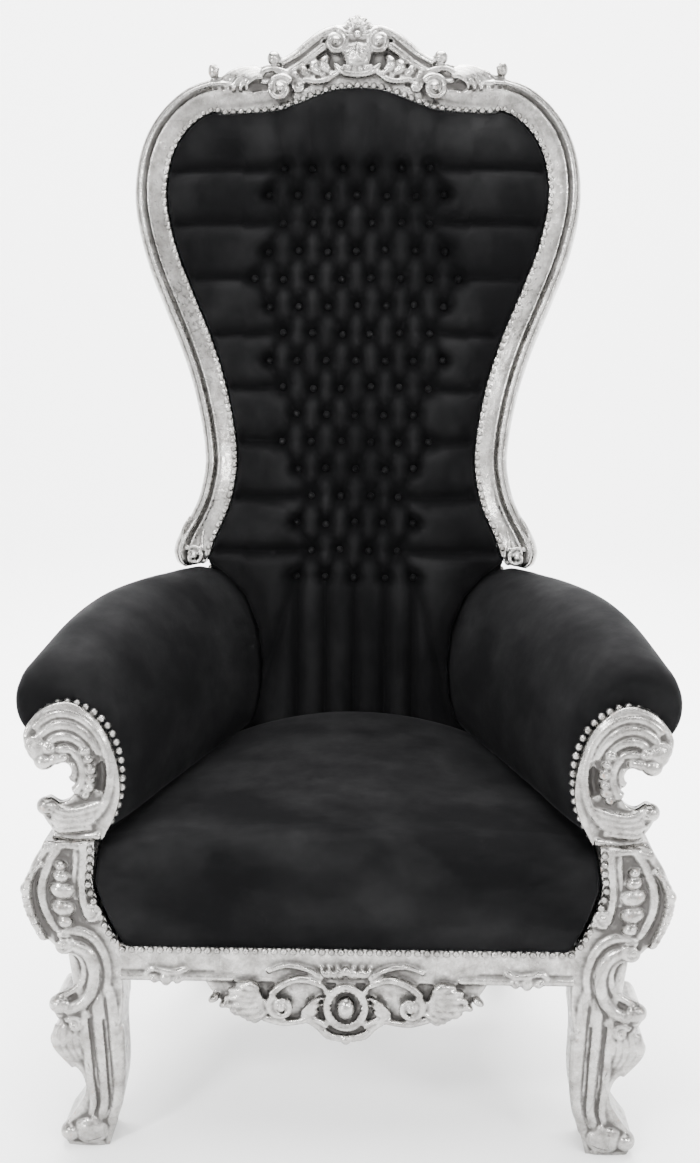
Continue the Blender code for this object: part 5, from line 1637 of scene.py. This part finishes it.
def facingNails():
    # over the top of each arm scroll and down its inner side
    y = body["legBackY"] - arms["wrap"] - 0.0006
    arc = [(x + 0.003 * (x < 0.4), y, z) for x, z in nails["scrollArc"]]
    line = evenly(smoothLine(arc, 4), nails["pitch"])
    seats = [(Vector((side * point.x, point.y, point.z)), (0, -1, 0.1))
             for side in (-1, 1) for point in line]
    studs("arm_scroll_nails", seats, nails["radius"], nails["height"], silverFinish)


def legNails():
    front = body["legBackY"] - leg["thick"] + nails["legSink"]
    heights = (mix(*nails["legSpan"], k / 20) for k in range(21))
    line = [Vector((legInnerEdge(z) + nails["legInset"], front, z)) for z in heights]
    seats = [(Vector((side * point.x, point.y, point.z)), (-0.2 * side, -1, 0))
             for side in (-1, 1) for point in evenly(line, nails["pitch"])]
    studs("front_leg_nails", seats, nails["radius"], nails["height"], silverFinish)


def railNails():
    half = railHigh.x - 0.004
    line = [Vector((x, rail["frontY"] - 0.0008, railHigh.z - nails["railInset"])) for x in (-half, half)]
    seats = [(point, (0, -1, 0.15)) for point in evenly(line, nails["pitch"])]
    studs("front_rail_nails", seats, nails["radius"], nails["height"], silverFinish)


def sideNails():
    # along the foot of each arm's outer panel
    seats = []
    for side in (-1, 1):
        line = []
        for share in (k / 24 for k in range(25)):
            x, z = armSection(share)[0]
            y = mix(body["legBackY"] + 0.006, backPlaneY(z, 0) - 0.006, share)
            line.append(Vector((side * (x + 0.0008), y, z + 0.008)))
        for point in evenly(line, nails["pitch"]):
            seats.append((point, (side, 0.25, 0)))
    studs("arm_panel_nails", seats, nails["radius"], nails["height"], silverFinish)


def outsideNails(outline):
    middle = np.array(outline).mean(0)
    places = [Vector((x, outside["edge"] + 0.0005, w)) for x, w in outline]
    inward = []
    for k, point in enumerate(places):
        along = (places[(k + 1) % len(places)] - places[k - 1]).normalized()
        across = Vector((-along.z, 0, along.x))
        if across.dot(Vector((middle[0] - point.x, 0, middle[1] - point.z))) < 0:
            across = -across
        inward.append(point + across * nails["outsideInset"])
    seats = []
    normal = backPlace.to_3x3() @ Vector((0, 1, 0))
    for point in evenly(inward + inward[:1], nails["pitch"]):
        place = backPlace @ point
        if place.z > body["railTop"] + nails["aboveRail"]:
            seats.append((place, normal))
    studs("outside_back_nails", seats, nails["radius"], nails["height"], silverFinish)


# Build

frontLeg()
print("front legs carved")
armScroll()
print("arm scrolls carved")
frontRail()
print("front rail carved")
backStile()
crestRail()
print("back frame and crest carved")
arm()
seatPiece()
print("arms and seat upholstered")
buttonPlaces = insideBack()
buttons(buttonPlaces)
print("back buttoned")
outsideLine = outsideBack()
backNails()
facingNails()
legNails()
railNails()
sideNails()
outsideNails(outsideLine)
print("nails set")
for plain in ("side_rail_left", "side_rail_right", "back_rail", "back_leg_left", "back_leg_right"):
    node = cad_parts[plain]
    node.data.materials.clear()
    node.data.materials.append(silverFinish)


# Floor, light and camera

stage = {
    "floor": (0.97, 0.97, 0.97),
    "worldTop": 0.9,
    "worldLevel": 0.04,
    "key": 110,
    "fill": 45,
    "low": 32,
    "high": 50,
    "rim": 80,
    "overhead": 180,
    "backdrop": 1500,
    "cameraPlace": (0.06, -2.135, 1.3),
    "cameraTurn": (90 - 12.3, 0.0, 1.72),
    "lens": 36 * 1300 / 1163,
}


def studio():
    # a round cove, the same on every side: floor, bend and wall
    mesh = bmesh.new()
    bmesh.ops.create_circle(mesh, cap_ends=True, segments=96, radius=5)
    rim = list(mesh.edges)
    for k in range(1, 14):
        turn = math.radians(min(k, 12) * 7.5)
        grown = bmesh.ops.extrude_edge_only(mesh, edges=rim)["geom"]
        rim = [item for item in grown if isinstance(item, bmesh.types.BMEdge)]
        for vert in {vert for edge in rim for vert in edge.verts}:
            way = Vector((vert.co.x, vert.co.y, 0)).normalized()
            height = 2 * (1 - math.cos(turn)) + 4 * (k == 13)
            vert.co = way * (5 + 2 * math.sin(turn)) + Vector((0, 0, height))
    bmesh.ops.recalc_face_normals(mesh, faces=mesh.faces)
    if mesh.faces[0].normal.z < 0:
        bmesh.ops.reverse_faces(mesh, faces=mesh.faces)
    data = bpy.data.meshes.new("floor")
    mesh.to_mesh(data)
    mesh.free()
    data.shade_smooth()
    material, nodes, links, shader = newMaterial("pale_floor")
    shader.inputs["Base Color"].default_value = (*stage["floor"], 1)
    shader.inputs["Roughness"].default_value = 0.9
    floor = bpy.data.objects.new("floor", data)
    data.materials.append(material)
    bpy.context.scene.collection.objects.link(floor)
    world = bpy.data.worlds.new("studio")
    world.use_nodes = True
    nodes, links = world.node_tree.nodes, world.node_tree.links
    way = nodes.new("ShaderNodeTexCoord").outputs["Generated"]
    parts = nodes.new("ShaderNodeSeparateXYZ")
    links.new(way, parts.inputs["Vector"])
    glow = ranged(nodes, links, parts.outputs["Z"], 0.05, 0.8, stage["worldLevel"], stage["worldTop"])
    links.new(glow, nodes["Background"].inputs["Strength"])
    nodes["Background"].inputs["Color"].default_value = (1, 1, 1, 1)
    bpy.context.scene.world = world
    for name, place, aim, power, size in (
            ("key", (-1.9, -2.7, 2.9), (0, 0, 0.9), stage["key"], 0.6),
            ("fill", (2.5, -2.1, 1.5), (0, 0, 0.8), stage["fill"], 0.5),
            ("low", (-2.3, -2.4, 0.6), (0, 0, 0.6), stage["low"], 0.4),
            ("high", (1.2, -3.2, 2.6), (0, 0, 1.1), stage["high"], 0.4),
            ("rim", (0.4, 2.4, 3.0), (0, 0, 1.2), stage["rim"], 1.6),
            ("overhead", (0.0, -0.6, 4.2), (0, -0.3, 0), stage["overhead"], 2.6),
            ("backdrop", (0.0, 1.4, 5.2), (0, 6.5, 0.6), stage["backdrop"], 3.6)):
        lamp = bpy.data.lights.new(name, "AREA")
        lamp.energy = power
        lamp.size = size
        light = bpy.data.objects.new(name, lamp)
        light.location = place
        light.rotation_euler = (Vector(aim) - Vector(place)).to_track_quat("-Z", "Y").to_euler()
        bpy.context.scene.collection.objects.link(light)


def camera():
    lens = bpy.data.cameras.new("camera")
    lens.lens = stage["lens"]
    lens.sensor_width = 36
    eye = bpy.data.objects.new("camera", lens)
    eye.location = stage["cameraPlace"]
    eye.rotation_euler = [math.radians(angle) for angle in stage["cameraTurn"]]
    bpy.context.scene.collection.objects.link(eye)
    bpy.context.scene.camera = eye


studio()
camera()
